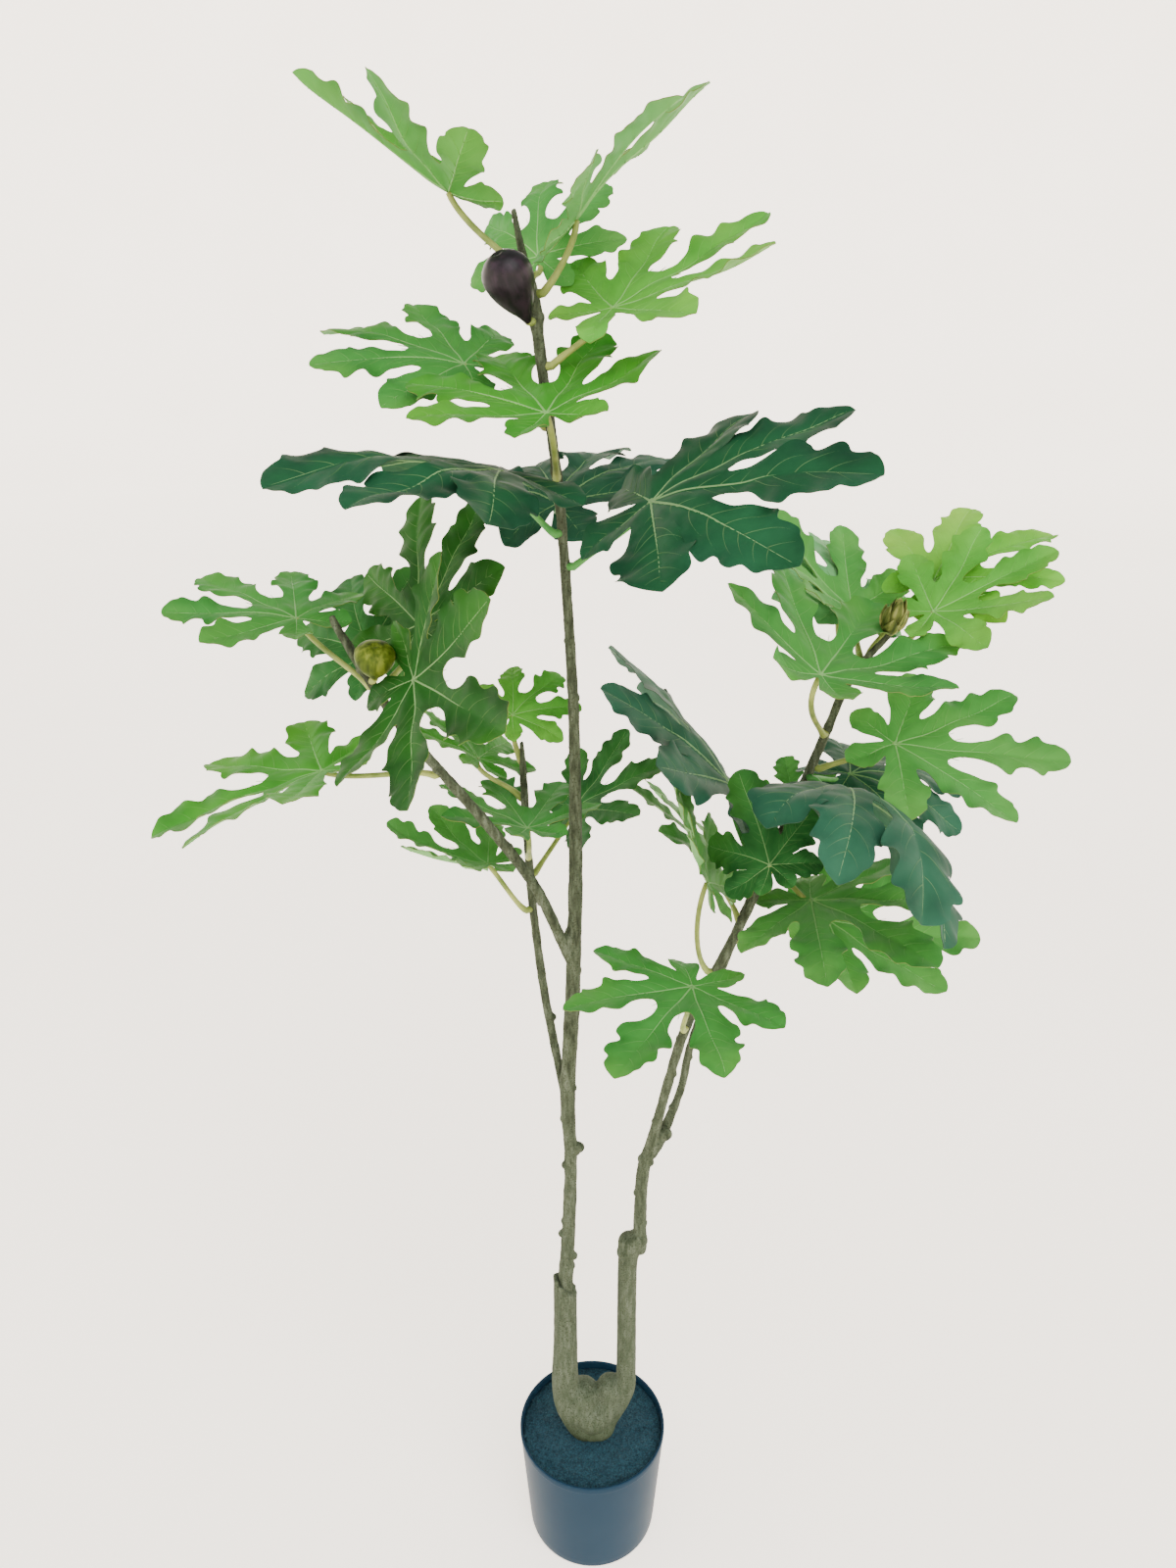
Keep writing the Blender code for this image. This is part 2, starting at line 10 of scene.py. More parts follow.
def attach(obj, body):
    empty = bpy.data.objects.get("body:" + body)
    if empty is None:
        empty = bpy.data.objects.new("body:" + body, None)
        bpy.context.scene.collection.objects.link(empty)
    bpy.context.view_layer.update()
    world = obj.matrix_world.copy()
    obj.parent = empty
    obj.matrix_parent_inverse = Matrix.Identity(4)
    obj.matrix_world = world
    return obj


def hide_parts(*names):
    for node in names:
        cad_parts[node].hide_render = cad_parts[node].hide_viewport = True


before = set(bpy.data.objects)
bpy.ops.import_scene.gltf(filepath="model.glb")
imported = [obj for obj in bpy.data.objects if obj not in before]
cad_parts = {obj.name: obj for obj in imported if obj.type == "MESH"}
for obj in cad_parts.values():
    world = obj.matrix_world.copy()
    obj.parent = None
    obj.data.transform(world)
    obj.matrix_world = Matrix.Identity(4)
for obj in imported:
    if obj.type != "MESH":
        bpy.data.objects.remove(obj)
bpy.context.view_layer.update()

# ---- Pot
# A thin-walled round pot, injection moulded in black polypropylene, a little wider at the rim.
# It stands loose on the floor on its flat underside.
POT_HEIGHT = 0.117
RIM_RADIUS = 0.0665
BASE_RADIUS = 0.0585
WALL = 0.0022
FLOOR_THICKNESS = 0.004


def linear(text):
    """Linear colour of an sRGB hex text."""
    values = [int(text[i:i + 2], 16) / 255 for i in (0, 2, 4)]
    return [v / 12.92 if v <= 0.04045 else ((v + 0.055) / 1.055) ** 2.4 for v in values] + [1.0]


def add_node(tree, kind, inputs=None, stops=(), **settings):
    """Adds a node with its settings and links.

    Inputs are values, or outputs of other nodes to link.  Stops are the (place, hex colour or
    grey value) pairs of a node that holds a colour ramp.
    """
    made = tree.nodes.new(kind)
    for name, value in settings.items():
        setattr(made, name, value)
    for socket, value in (inputs or {}).items():
        if isinstance(value, bpy.types.NodeSocket):
            tree.links.new(value, made.inputs[socket])
        else:
            made.inputs[socket].default_value = value
    for i, (place, colour) in enumerate(stops):
        elements = made.color_ramp.elements
        element = elements[i] if i < 2 else elements.new(place)
        element.position = place
        element.color = linear(colour) if isinstance(colour, str) else [colour] * 3 + [1.0]
    return made


def new_material(name, roughness, specular=0.5):
    """An opaque material with its node tree and shader."""
    material = bpy.data.materials.new(name)
    material.use_nodes = True
    shader = material.node_tree.nodes["Principled BSDF"]
    shader.inputs["Roughness"].default_value = roughness
    shader.inputs["Specular IOR Level"].default_value = specular
    return material, material.node_tree, shader


def add_piece(name, bm, materials, node_names):
    """Turns a mesh into a finished piece that stands for the named solids."""
    bmesh.ops.recalc_face_normals(bm, faces=bm.faces)
    mesh = bpy.data.meshes.new(name)
    bm.to_mesh(mesh)
    bm.free()
    mesh.shade_smooth()
    for material in materials:
        mesh.materials.append(material)
    piece = bpy.data.objects.new(name, mesh)
    bpy.context.scene.collection.objects.link(piece)
    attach(piece, "root")
    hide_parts(*node_names)
    return piece


def turned(profile, steps):
    """Body turned round the upright axis from (radius, height) points that begin and end on it."""
    bm = bmesh.new()
    points = [bm.verts.new((radius, 0, height)) for radius, height in profile]
    edges = [bm.edges.new(pair) for pair in zip(points, points[1:])]
    bmesh.ops.spin(bm, geom=points + edges, cent=(0, 0, 0), axis=(0, 0, 1),
                   angle=2 * math.pi, steps=steps, use_merge=True)
    bmesh.ops.remove_doubles(bm, verts=bm.verts, dist=1e-6)
    return bm


def round_corner(centre, radius, start, end, steps=5):
    """Points of a rounded profile corner, angles in degrees."""
    return [(centre[0] + radius * math.cos(math.radians(start + (end - start) * k / steps)),
             centre[1] + radius * math.sin(math.radians(start + (end - start) * k / steps)))
            for k in range(steps + 1)]


def outer_radius(height):
    return BASE_RADIUS + (RIM_RADIUS - BASE_RADIUS) * height / POT_HEIGHT


rim = 0.0011
pot_profile = [(0, 0.0012), (0.030, 0.0012), (0.046, 0.0012), (0.0475, 0.0)]
pot_profile += round_corner((BASE_RADIUS - 0.0022, 0.0022), 0.0022, -90, -4)
pot_profile += [(outer_radius(0.01 * k), 0.01 * k) for k in range(1, 11)]
pot_profile += [(outer_radius(0.1100), 0.1100), (outer_radius(0.1103), 0.1103),
                (outer_radius(0.1106) + 0.0003, 0.1106), (outer_radius(0.1109) + 0.0003, 0.1109)]
pot_profile += round_corner((RIM_RADIUS - rim, POT_HEIGHT - rim), rim, 0, 180, 8)
pot_profile += [(outer_radius(0.01 * k) - WALL, 0.01 * k) for k in range(11, 0, -1)]
pot_profile += [(BASE_RADIUS - WALL - 0.002, FLOOR_THICKNESS), (0, FLOOR_THICKNESS)]
pot_mesh = turned(pot_profile, 144)

# Moulded polypropylene: smooth with a soft shine, its blue black a little cloudy.
pot_plastic, tree, shader = new_material("moulded black polypropylene", 0.36, 0.04)
where = add_node(tree, "ShaderNodeTexCoord").outputs["Object"]
clouds = add_node(tree, "ShaderNodeTexNoise", {"Vector": where, "Scale": 14.0, "Detail": 3.0})
tint = add_node(tree, "ShaderNodeValToRGB", {"Fac": clouds.outputs["Fac"]},
                ((0.3, "152B3C"), (0.7, "192F40")))
tree.links.new(tint.outputs["Color"], shader.inputs["Base Color"])
add_piece("pot_shell", pot_mesh, [pot_plastic], ["pot"])

# ---- Fill
# Dark teal grit glued over the cement that weights the pot; loose grains show on its skin.
# It is poured in almost to the rim and touches the wall all round.
FILL_TOP = 0.1105
GRAIN = 0.0011
random.seed(5)

fill_mesh = bmesh.new()
bmesh.ops.create_grid(fill_mesh, x_segments=130, y_segments=130, size=0.0632)
outside = [v for v in fill_mesh.verts if v.co.xy.length > 0.0632]
bmesh.ops.delete(fill_mesh, geom=outside, context="VERTS")
for v in fill_mesh.verts:
    reach = v.co.xy.length
    spot = Vector((v.co.x, v.co.y, 0.0))
    v.co.z = (FILL_TOP + 0.0014 * noise.noise(spot * 45) + 0.0007 * noise.noise(spot * 260)
              + 0.0012 * max(0.0, 1 - reach / 0.045) - 0.0012 * (reach / 0.063) ** 6)
    if reach > 0.0618:
        v.co.xy *= 0.0634 / reach
skin = list(fill_mesh.faces)
walls = bmesh.ops.extrude_face_region(fill_mesh, geom=skin)["geom"]
for v in (part for part in walls if isinstance(part, bmesh.types.BMVert)):
    v.co.z = FILL_TOP - 0.006
for k in range(900):
    turn = random.uniform(0, 2 * math.pi)
    reach = 0.062 * math.sqrt(random.random())
    spot = Vector((reach * math.cos(turn), reach * math.sin(turn), 0.0))
    size = GRAIN * random.uniform(0.5, 1.25)
    height = FILL_TOP + 0.0014 * noise.noise(spot * 45) + 0.0010 * max(0.0, 1 - reach / 0.045)
    place = (Matrix.Translation((spot.x, spot.y, height))
             @ Matrix.Rotation(random.uniform(0, 3), 4, Vector((1, random.random(), 0.3)).normalized())
             @ Matrix.Diagonal((size, size * random.uniform(0.6, 1.0), size * 0.7, 1)))
    bmesh.ops.create_icosphere(fill_mesh, subdivisions=1, radius=1.0, matrix=place)

# Crushed stone dyed dark teal: dull and rough.  Light is painted on each grain: a painted
# highlight pale on its top and painted shade dark round its foot.
grit, tree, shader = new_material("dyed crushed grit", 0.85, 0.2)
where = add_node(tree, "ShaderNodeTexCoord").outputs["Object"]
grain_cells = add_node(tree, "ShaderNodeTexVoronoi", {"Vector": where, "Scale": 620.0})
patches = add_node(tree, "ShaderNodeTexNoise", {"Vector": where, "Scale": 70.0, "Detail": 4.0})
# Each ramp runs from a painted highlight at a grain's middle to painted shade at its edge
dark_grain_lit_and_shaded = add_node(tree, "ShaderNodeValToRGB", {"Fac": grain_cells.outputs["Distance"]},
                      ((0.0, "1B3845"), (0.9, "0F212A")))
pale_grain_lit_and_shaded = add_node(tree, "ShaderNodeValToRGB", {"Fac": grain_cells.outputs["Distance"]},
                      ((0.0, "29505D"), (0.9, "17323E")))
mixed = add_node(tree, "ShaderNodeMix", {
    "Factor": patches.outputs["Fac"], "A": dark_grain_lit_and_shaded.outputs["Color"],
    "B": pale_grain_lit_and_shaded.outputs["Color"]}, data_type="RGBA")
tree.links.new(mixed.outputs["Result"], shader.inputs["Base Color"])
rough = add_node(tree, "ShaderNodeBump", {"Height": grain_cells.outputs["Distance"], "Distance": 0.0006})
tree.links.new(rough.outputs["Normal"], shader.inputs["Normal"])
add_piece("pot_grit", fill_mesh, [grit], ["pot_fill"])

# ---- Trunk and limbs
# Foam wood moulded over steel wires: two thick stubs rise from one swollen root, and slimmer
# stems are plugged into them and branch once.  The skin is cast rough and sprayed grey green.
TRUNK = (
    ((-0.003, -0.001, 0.108, 0.0140), (-0.009, -0.002, 0.126, 0.0175),
     (-0.020, -0.005, 0.152, 0.0148), (-0.0243, -0.005, 0.180, 0.0122),
     (-0.0238, -0.005, 0.225, 0.0107), (-0.0236, -0.005, 0.270, 0.0102),
     (-0.0236, -0.005, 0.310, 0.0102)),
    ((0.006, 0.000, 0.108, 0.0120), (0.0125, -0.001, 0.126, 0.0118),
     (0.0235, -0.001, 0.147, 0.0104), (0.0298, -0.001, 0.166, 0.0094),
     (0.0304, -0.001, 0.190, 0.0089), (0.0300, -0.001, 0.260, 0.0085),
     (0.0300, -0.001, 0.310, 0.0085), (0.032, 0.000, 0.328, 0.0092),
     (0.037, 0.000, 0.340, 0.0094)),
)
# The left stub is torn off aslant: middle of the tear, fall across it, and its half width
TEAR = (Vector((-0.0236, -0.005, 0.2935)), 1.0, 0.0094)
LIMBS = {
    "leader": (
        (-0.0238, -0.005, 0.285, 0.0062), (-0.020, -0.005, 0.360, 0.0053),
        (-0.018, -0.005, 0.430, 0.0048), (-0.020, -0.005, 0.494, 0.0056),
        (-0.016, -0.005, 0.580, 0.0054), (-0.013, -0.005, 0.686, 0.0047),
        (-0.013, -0.005, 0.779, 0.0036), (-0.015, -0.005, 0.850, 0.0032),
        (-0.022, -0.005, 0.961, 0.0029), (-0.032, -0.006, 1.042, 0.0030),
        (-0.0350, -0.007, 1.066, 0.0041), (-0.0380, -0.006, 1.084, 0.0040),
        (-0.0415, -0.005, 1.099, 0.0024), (-0.047, -0.005, 1.126, 0.0012),
    ),
    "left_bough": (
        (-0.016, -0.006, 0.618, 0.0036), (-0.040, -0.024, 0.690, 0.0035),
        (-0.068, -0.034, 0.740, 0.0034), (-0.098, -0.044, 0.786, 0.0031),
        (-0.127, -0.046, 0.826, 0.0029), (-0.160, -0.036, 0.880, 0.0025),
        (-0.166, -0.036, 0.894, 0.0014),
    ),
    "thin_stem": (
        (-0.020, -0.003, 0.478, 0.0030), (-0.037, 0.018, 0.569, 0.0030),
        (-0.045, 0.028, 0.634, 0.0029), (-0.049, 0.032, 0.691, 0.0027),
        (-0.051, 0.032, 0.748, 0.0025), (-0.052, 0.032, 0.781, 0.0012),
    ),
    "right_stem": (
        (0.040, 0.000, 0.326, 0.0056), (0.040, 0.000, 0.376, 0.0049),
        (0.042, 0.000, 0.418, 0.0051), (0.050, 0.002, 0.440, 0.0064),
        (0.055, 0.002, 0.455, 0.0078),
    ),
    "right_inner_branch": (
        (0.047, -0.003, 0.440, 0.0040), (0.0585, -0.008, 0.507, 0.0034),
        (0.0715, -0.009, 0.563, 0.0034), (0.092, -0.010, 0.615, 0.0031),
        (0.106, -0.012, 0.650, 0.0031), (0.118, -0.014, 0.684, 0.0026),
        (0.123, -0.014, 0.700, 0.0014),
    ),
    "right_outer_branch": (
        (0.055, 0.005, 0.440, 0.0040), (0.071, 0.012, 0.487, 0.0029),
        (0.078, 0.014, 0.530, 0.0029), (0.096, 0.015, 0.590, 0.0032),
        (0.113, 0.015, 0.645, 0.0032), (0.134, 0.012, 0.708, 0.0030),
        (0.158, 0.008, 0.784, 0.0029), (0.175, 0.004, 0.838, 0.0025),
        (0.201, 0.001, 0.875, 0.0014),
    ),
}
NUB_SPACING = 0.038


def smooth_path(points, steps):
    """Curve through (x, y, z, radius) points."""
    rows = [Vector(p) for p in points]
    rows = [rows[0] * 2 - rows[1]] + rows + [rows[-1] * 2 - rows[-2]]
    path = []
    for a, b, c, d in zip(rows, rows[1:], rows[2:], rows[3:]):
        for s in range(steps):
            t = s / steps
            path.append(0.5 * (2 * b + (c - a) * t + (2 * a - 5 * b + 4 * c - d) * t * t
                               + (3 * b - a - 3 * c + d) * t * t * t))
    path.append(rows[-2])
    return path


def grow(bm, path, sides, flatten=1.0, over=Vector((0, 1, 0))):
    """Closed tube along (x, y, z, radius) points; flatten squeezes it along the over direction."""
    ring = None
    before = None
    for i, point in enumerate(path):
        ahead = (path[min(i + 1, len(path) - 1)] - path[max(i - 1, 0)]).to_3d().normalized()
        over = (over - ahead * over.dot(ahead)).normalized()
        across = over.cross(ahead)
        turn = Matrix((across * point[3], over * point[3] * flatten, ahead * point[3])).transposed()
        here = Matrix.Translation(point.to_3d()) @ turn.to_4x4()
        if ring is None:
            made = bmesh.ops.create_circle(bm, cap_ends=True, segments=sides, radius=1.0, matrix=here)
            ring = list({e for v in made["verts"] for e in v.link_edges})
        else:
            made = bmesh.ops.extrude_edge_only(bm, edges=ring)["geom"]
            ring = [part for part in made if isinstance(part, bmesh.types.BMEdge)
                    and all(v in made for v in part.verts)]
            rows = [part for part in made if isinstance(part, bmesh.types.BMVert)]
            bmesh.ops.transform(bm, matrix=here @ before.inverted(), verts=rows)
        before = here
    bmesh.ops.edgeloop_fill(bm, edges=ring)


def limb_at(name, height):
    """Middle point, direction and radius of a limb at a height."""
    path = smooth_path(LIMBS[name], 6)
    for low, high in zip(path, path[1:]):
        if low[2] <= height <= high[2]:
            break
    share = min(max((height - low[2]) / (high[2] - low[2]), 0.0), 1.0)
    return (low.lerp(high, share).to_3d(), (high - low).to_3d().normalized(),
            low.lerp(high, share)[3])


def cast_bark(name, bm, voxel, depth, softness, node_names):
    """Fuses overlapping bodies into one skin, roughens it and adds it as a piece."""
    mesh = bpy.data.meshes.new(name)
    bm.to_mesh(mesh)
    bm.free()
    rough = bpy.data.objects.new(name + "_rough", mesh)
    bpy.context.scene.collection.objects.link(rough)
    fuse = rough.modifiers.new("fuse", "REMESH")
    fuse.mode = "VOXEL"
    fuse.voxel_size = voxel
    ease = rough.modifiers.new("ease", "SMOOTH")
    ease.factor = 0.5
    ease.iterations = softness
    fused = bpy.data.meshes.new_from_object(
        rough.evaluated_get(bpy.context.evaluated_depsgraph_get()))
    bpy.data.objects.remove(rough, do_unlink=True)
    bpy.data.meshes.remove(mesh)
    skin = bmesh.new()
    skin.from_mesh(fused)
    bpy.data.meshes.remove(fused)
    skin.normal_update()
    for v, normal in [(v, v.normal.copy()) for v in skin.verts]:
        spot = v.co
        grain = Vector((spot.x * 330, spot.y * 330, spot.z * 110))
        rise = (0.55 * noise.noise(grain) + 0.35 * noise.noise(spot * 620)
                + 0.55 * noise.noise(spot * 95))
        v.co = spot + normal * rise * depth
    return add_piece(name, skin, [bark], node_names)


# Cast polyurethane foam with a sprayed stain: dry and matt, speckled dark where the stain pooled.
bark, tree, shader = new_material("stained foam bark", 0.85, 0.08)
where = add_node(tree, "ShaderNodeTexCoord").outputs["Object"]
height = add_node(tree, "ShaderNodeSeparateXYZ", {"Vector": where}).outputs["Z"]
climb = add_node(tree, "ShaderNodeMapRange", {"Value": height, "From Min": 0.12, "From Max": 0.62})
streaks = add_node(tree, "ShaderNodeTexNoise", {
    "Vector": add_node(tree, "ShaderNodeMapping", {
        "Vector": where, "Scale": (260.0, 260.0, 62.0)}).outputs["Vector"],
    "Scale": 1.0, "Detail": 4.0, "Roughness": 0.6})
pores = add_node(tree, "ShaderNodeTexNoise", {"Vector": where, "Scale": 760.0, "Detail": 3.0})
low_tone = add_node(tree, "ShaderNodeValToRGB", {"Fac": streaks.outputs["Fac"]},
                    ((0.28, "3A4534"), (0.50, "464F40"), (0.74, "525B4D")))
high_tone = add_node(tree, "ShaderNodeValToRGB", {"Fac": streaks.outputs["Fac"]},
                     ((0.32, "292E22"), (0.52, "434B3A"), (0.72, "5F6756")))
tone = add_node(tree, "ShaderNodeMix", {
    "Factor": climb.outputs["Result"], "A": low_tone.outputs["Color"],
    "B": high_tone.outputs["Color"]}, data_type="RGBA")
pooled = add_node(tree, "ShaderNodeValToRGB", {"Fac": pores.outputs["Fac"]},
                  ((0.36, 0.65), (0.47, 0.0)))
speckled = add_node(tree, "ShaderNodeMix", {
    "Factor": pooled.outputs["Color"], "A": tone.outputs["Result"], "B": linear("262B1E")},
    data_type="RGBA")
# Painted shade: the foot is painted darker and greener where it stands in the grit
foot = add_node(tree, "ShaderNodeMapRange", {
    "Value": height, "From Min": 0.112, "From Max": 0.142, "To Min": 0.55, "To Max": 0.0})
shaded_foot = add_node(tree, "ShaderNodeMix", {
    "Factor": foot.outputs["Result"], "A": speckled.outputs["Result"], "B": linear("2A3A1E")},
    data_type="RGBA")
tree.links.new(shaded_foot.outputs["Result"], shader.inputs["Base Color"])
relief = add_node(tree, "ShaderNodeBump", {
    "Height": streaks.outputs["Fac"], "Strength": 0.3, "Distance": 0.0008})
fine_relief = add_node(tree, "ShaderNodeBump", {
    "Height": pores.outputs["Fac"], "Strength": 0.5, "Distance": 0.0005,
    "Normal": relief.outputs["Normal"]})
tree.links.new(fine_relief.outputs["Normal"], shader.inputs["Normal"])

trunk_mesh = bmesh.new()
grow(trunk_mesh, smooth_path(TRUNK[0], 6), 20)
torn = bmesh.ops.bisect_plane(
    trunk_mesh, geom=trunk_mesh.verts[:] + trunk_mesh.edges[:] + trunk_mesh.faces[:],
    plane_co=TEAR[0], plane_no=(TEAR[1], 0, 1), clear_outer=True)["geom_cut"]
bmesh.ops.edgeloop_fill(
    trunk_mesh, edges=[part for part in torn if isinstance(part, bmesh.types.BMEdge)])
grow(trunk_mesh, smooth_path(TRUNK[1], 6), 20)
# Swollen root: middle, size and upright stretch of each hump
for x, y, z, size, tall in (
        (-0.012, -0.005, 0.147, 0.0180, 1.15), (-0.0085, -0.006, 0.161, 0.0155, 1.0),
        (0.0160, -0.004, 0.1655, 0.0128, 1.15), (0.001, -0.007, 0.140, 0.0190, 1.0),
        (0.006, -0.008, 0.125, 0.0155, 0.9), (0.006, 0.003, 0.138, 0.0165, 1.0),
        (-0.010, 0.005, 0.130, 0.0175, 1.0), (-0.007, -0.006, 0.125, 0.0150, 0.9),
        (0.0130, -0.005, 0.149, 0.0135, 1.1), (0.0000, -0.0075, 0.123, 0.0150, 0.9)):
    bmesh.ops.create_icosphere(trunk_mesh, subdivisions=3, radius=size, matrix=(
        Matrix.Translation((x, y, z)) @ Matrix.Diagonal((1, 1, tall, 1))))
# Ragged lip of the tear, and the knob at the top of the other stub
random.seed(11)
for k in range(13):
    turn = 2 * math.pi * k / 13
    away = Vector((math.cos(turn), math.sin(turn), -TEAR[1] * math.cos(turn))) * TEAR[2]
    lip = TEAR[0] + away + Vector((0, 0, random.uniform(-0.002, 0.0016)))
    bmesh.ops.create_icosphere(trunk_mesh, subdivisions=2, radius=random.uniform(0.0015, 0.0023),
                               matrix=Matrix.Translation(lip))
for x, y, z, size in ((0.031, 0.000, 0.336, 0.0098), (0.038, -0.001, 0.341, 0.0088),
                      (0.027, -0.004, 0.329, 0.0068), (0.041, 0.003, 0.335, 0.0064)):
    bmesh.ops.create_icosphere(trunk_mesh, subdivisions=3, radius=size,
                               matrix=Matrix.Translation((x, y, z)))
cast_bark("trunk_wood", trunk_mesh, 0.0010, 0.0003, 22, ["trunk"])

limb_mesh = bmesh.new()
random.seed(23)
for name, points in LIMBS.items():
    path = smooth_path(points, 14)
    for i, point in enumerate(path):
        point[3] = 0.0005 + point[3] * (1 + 0.10 * noise.noise(Vector((point[2] * 60, len(name), 0))))
    grow(limb_mesh, path, 14)
    # Scars of stalks that were never fitted, turned round the limb from one to the next
    height = points[0][2] + 0.030
    turn = random.uniform(0, 6)
    while height < points[-1][2] - 0.012:
        middle, grain, girth = limb_at(name, height)
        out = Matrix.Rotation(turn, 3, grain) @ grain.orthogonal().normalized()
        size = 0.0015 + girth * 0.24
        bmesh.ops.create_icosphere(limb_mesh, subdivisions=2, radius=size, matrix=(
            Matrix.Translation(middle + out * girth * 0.86) @ Matrix.Diagonal((1, 1, 1.3, 1))))
        turn += 2.5 + random.uniform(-0.4, 0.4)
        height += NUB_SPACING * random.uniform(0.65, 1.35)
# Larger knots: place and size
for x, y, z, size in (
        (-0.0112, -0.007, 0.444, 0.0046), (-0.0145, -0.006, 0.440, 0.0046),
        (-0.0222, -0.006, 0.425, 0.0036), (-0.0254, -0.006, 0.352, 0.0036),
        (-0.0315, 0.0135, 0.556, 0.0030), (0.0405, -0.001, 0.427, 0.0040),
        (-0.0160, -0.007, 0.328, 0.0036), (-0.0165, -0.006, 0.640, 0.0060),
        (0.0585, 0.000, 0.452, 0.0060), (0.0500, -0.002, 0.447, 0.0062),
        (0.0480, 0.000, 0.432, 0.0050), (-0.0325, -0.008, 1.068, 0.0034)):
    bmesh.ops.create_icosphere(limb_mesh, subdivisions=3, radius=size,
                               matrix=Matrix.Translation((x, y, z)))
cast_bark("limb_wood", limb_mesh, 0.0010, 0.0006, 5, list(LIMBS))

# ---- Leaves
# Polyester cloth printed both sides, stamped in three moulds with raised veins.  A wired stalk
# in green plastic sleeve is glued under the blade and pushed into the limb.
CLOTH = 0.00045
LOBES = {
    "slender": ((0, 1.00, 0.185), (38, 0.88, 0.160), (80, 0.68, 0.145), (139, 0.36, 0.105)),
    "broad": ((0, 1.00, 0.215), (30, 0.90, 0.180), (65, 0.66, 0.180), (140, 0.38, 0.130)),
    "young": ((0, 1.00, 0.240), (50, 0.76, 0.200), (98, 0.52, 0.160), (145, 0.30, 0.100)),
}
CUTS = {
    "slender": (0.33, 0.28, 0.14),
    "broad": (0.36, 0.30, 0.15),
    "young": (0.46, 0.34, 0.16),
}
BACK_NOTCH = 0.04
# Cut edge of a lobe: how far out, and the half width there, both as shares.  The edge that
# faces the tip of the leaf comes first, the one that faces the stalk second.
EDGES = (
    (((0.36, 0.36), (0.44, 0.34), (0.51, 0.46), (0.57, 0.74), (0.625, 0.97), (0.665, 1.00),
      (0.68, 0.84), (0.70, 0.70), (0.74, 0.72), (0.79, 0.88), (0.835, 0.93), (0.855, 0.78),
      (0.87, 0.64), (0.90, 0.64), (0.94, 0.60), (0.97, 0.42), (0.99, 0.20)),
     ((0.36, 0.36), (0.45, 0.36), (0.53, 0.52), (0.59, 0.84), (0.64, 0.98), (0.67, 0.92),
      (0.685, 0.76), (0.71, 0.70), (0.75, 0.80), (0.80, 0.92), (0.825, 0.84), (0.84, 0.68),
      (0.875, 0.64), (0.915, 0.66), (0.935, 0.52), (0.96, 0.44), (0.985, 0.24))),
    (((0.38, 0.46), (0.46, 0.44), (0.54, 0.58), (0.62, 0.82), (0.69, 0.93), (0.73, 0.86),
      (0.745, 0.70), (0.77, 0.66), (0.82, 0.74), (0.87, 0.74), (0.895, 0.58), (0.93, 0.50),
      (0.965, 0.36), (0.988, 0.18)),
     ((0.38, 0.60), (0.45, 0.76), (0.52, 0.94), (0.585, 1.07), (0.625, 1.08), (0.64, 0.92),
      (0.655, 0.80), (0.69, 0.84), (0.74, 0.98), (0.785, 1.00), (0.80, 0.84), (0.815, 0.72),
      (0.85, 0.74), (0.89, 0.72), (0.915, 0.56), (0.945, 0.46), (0.975, 0.28))),
    (((0.42, 0.56), (0.50, 0.62), (0.58, 0.80), (0.67, 0.96), (0.73, 0.93), (0.75, 0.80),
      (0.78, 0.74), (0.84, 0.76), (0.885, 0.66), (0.93, 0.46), (0.975, 0.22)),
     ((0.42, 0.66), (0.50, 0.84), (0.58, 1.02), (0.65, 1.06), (0.68, 0.94), (0.70, 0.84),
      (0.74, 0.88), (0.80, 0.92), (0.835, 0.80), (0.855, 0.68), (0.90, 0.60), (0.945, 0.42),
      (0.98, 0.20))),
    (((0.46, 0.84), (0.58, 0.98), (0.68, 1.04), (0.715, 0.92), (0.735, 0.82), (0.79, 0.84),
      (0.86, 0.76), (0.92, 0.54), (0.975, 0.24)),
     ((0.46, 0.86), (0.60, 1.02), (0.72, 1.00), (0.76, 0.88), (0.83, 0.80), (0.90, 0.62),
      (0.96, 0.34))),
)
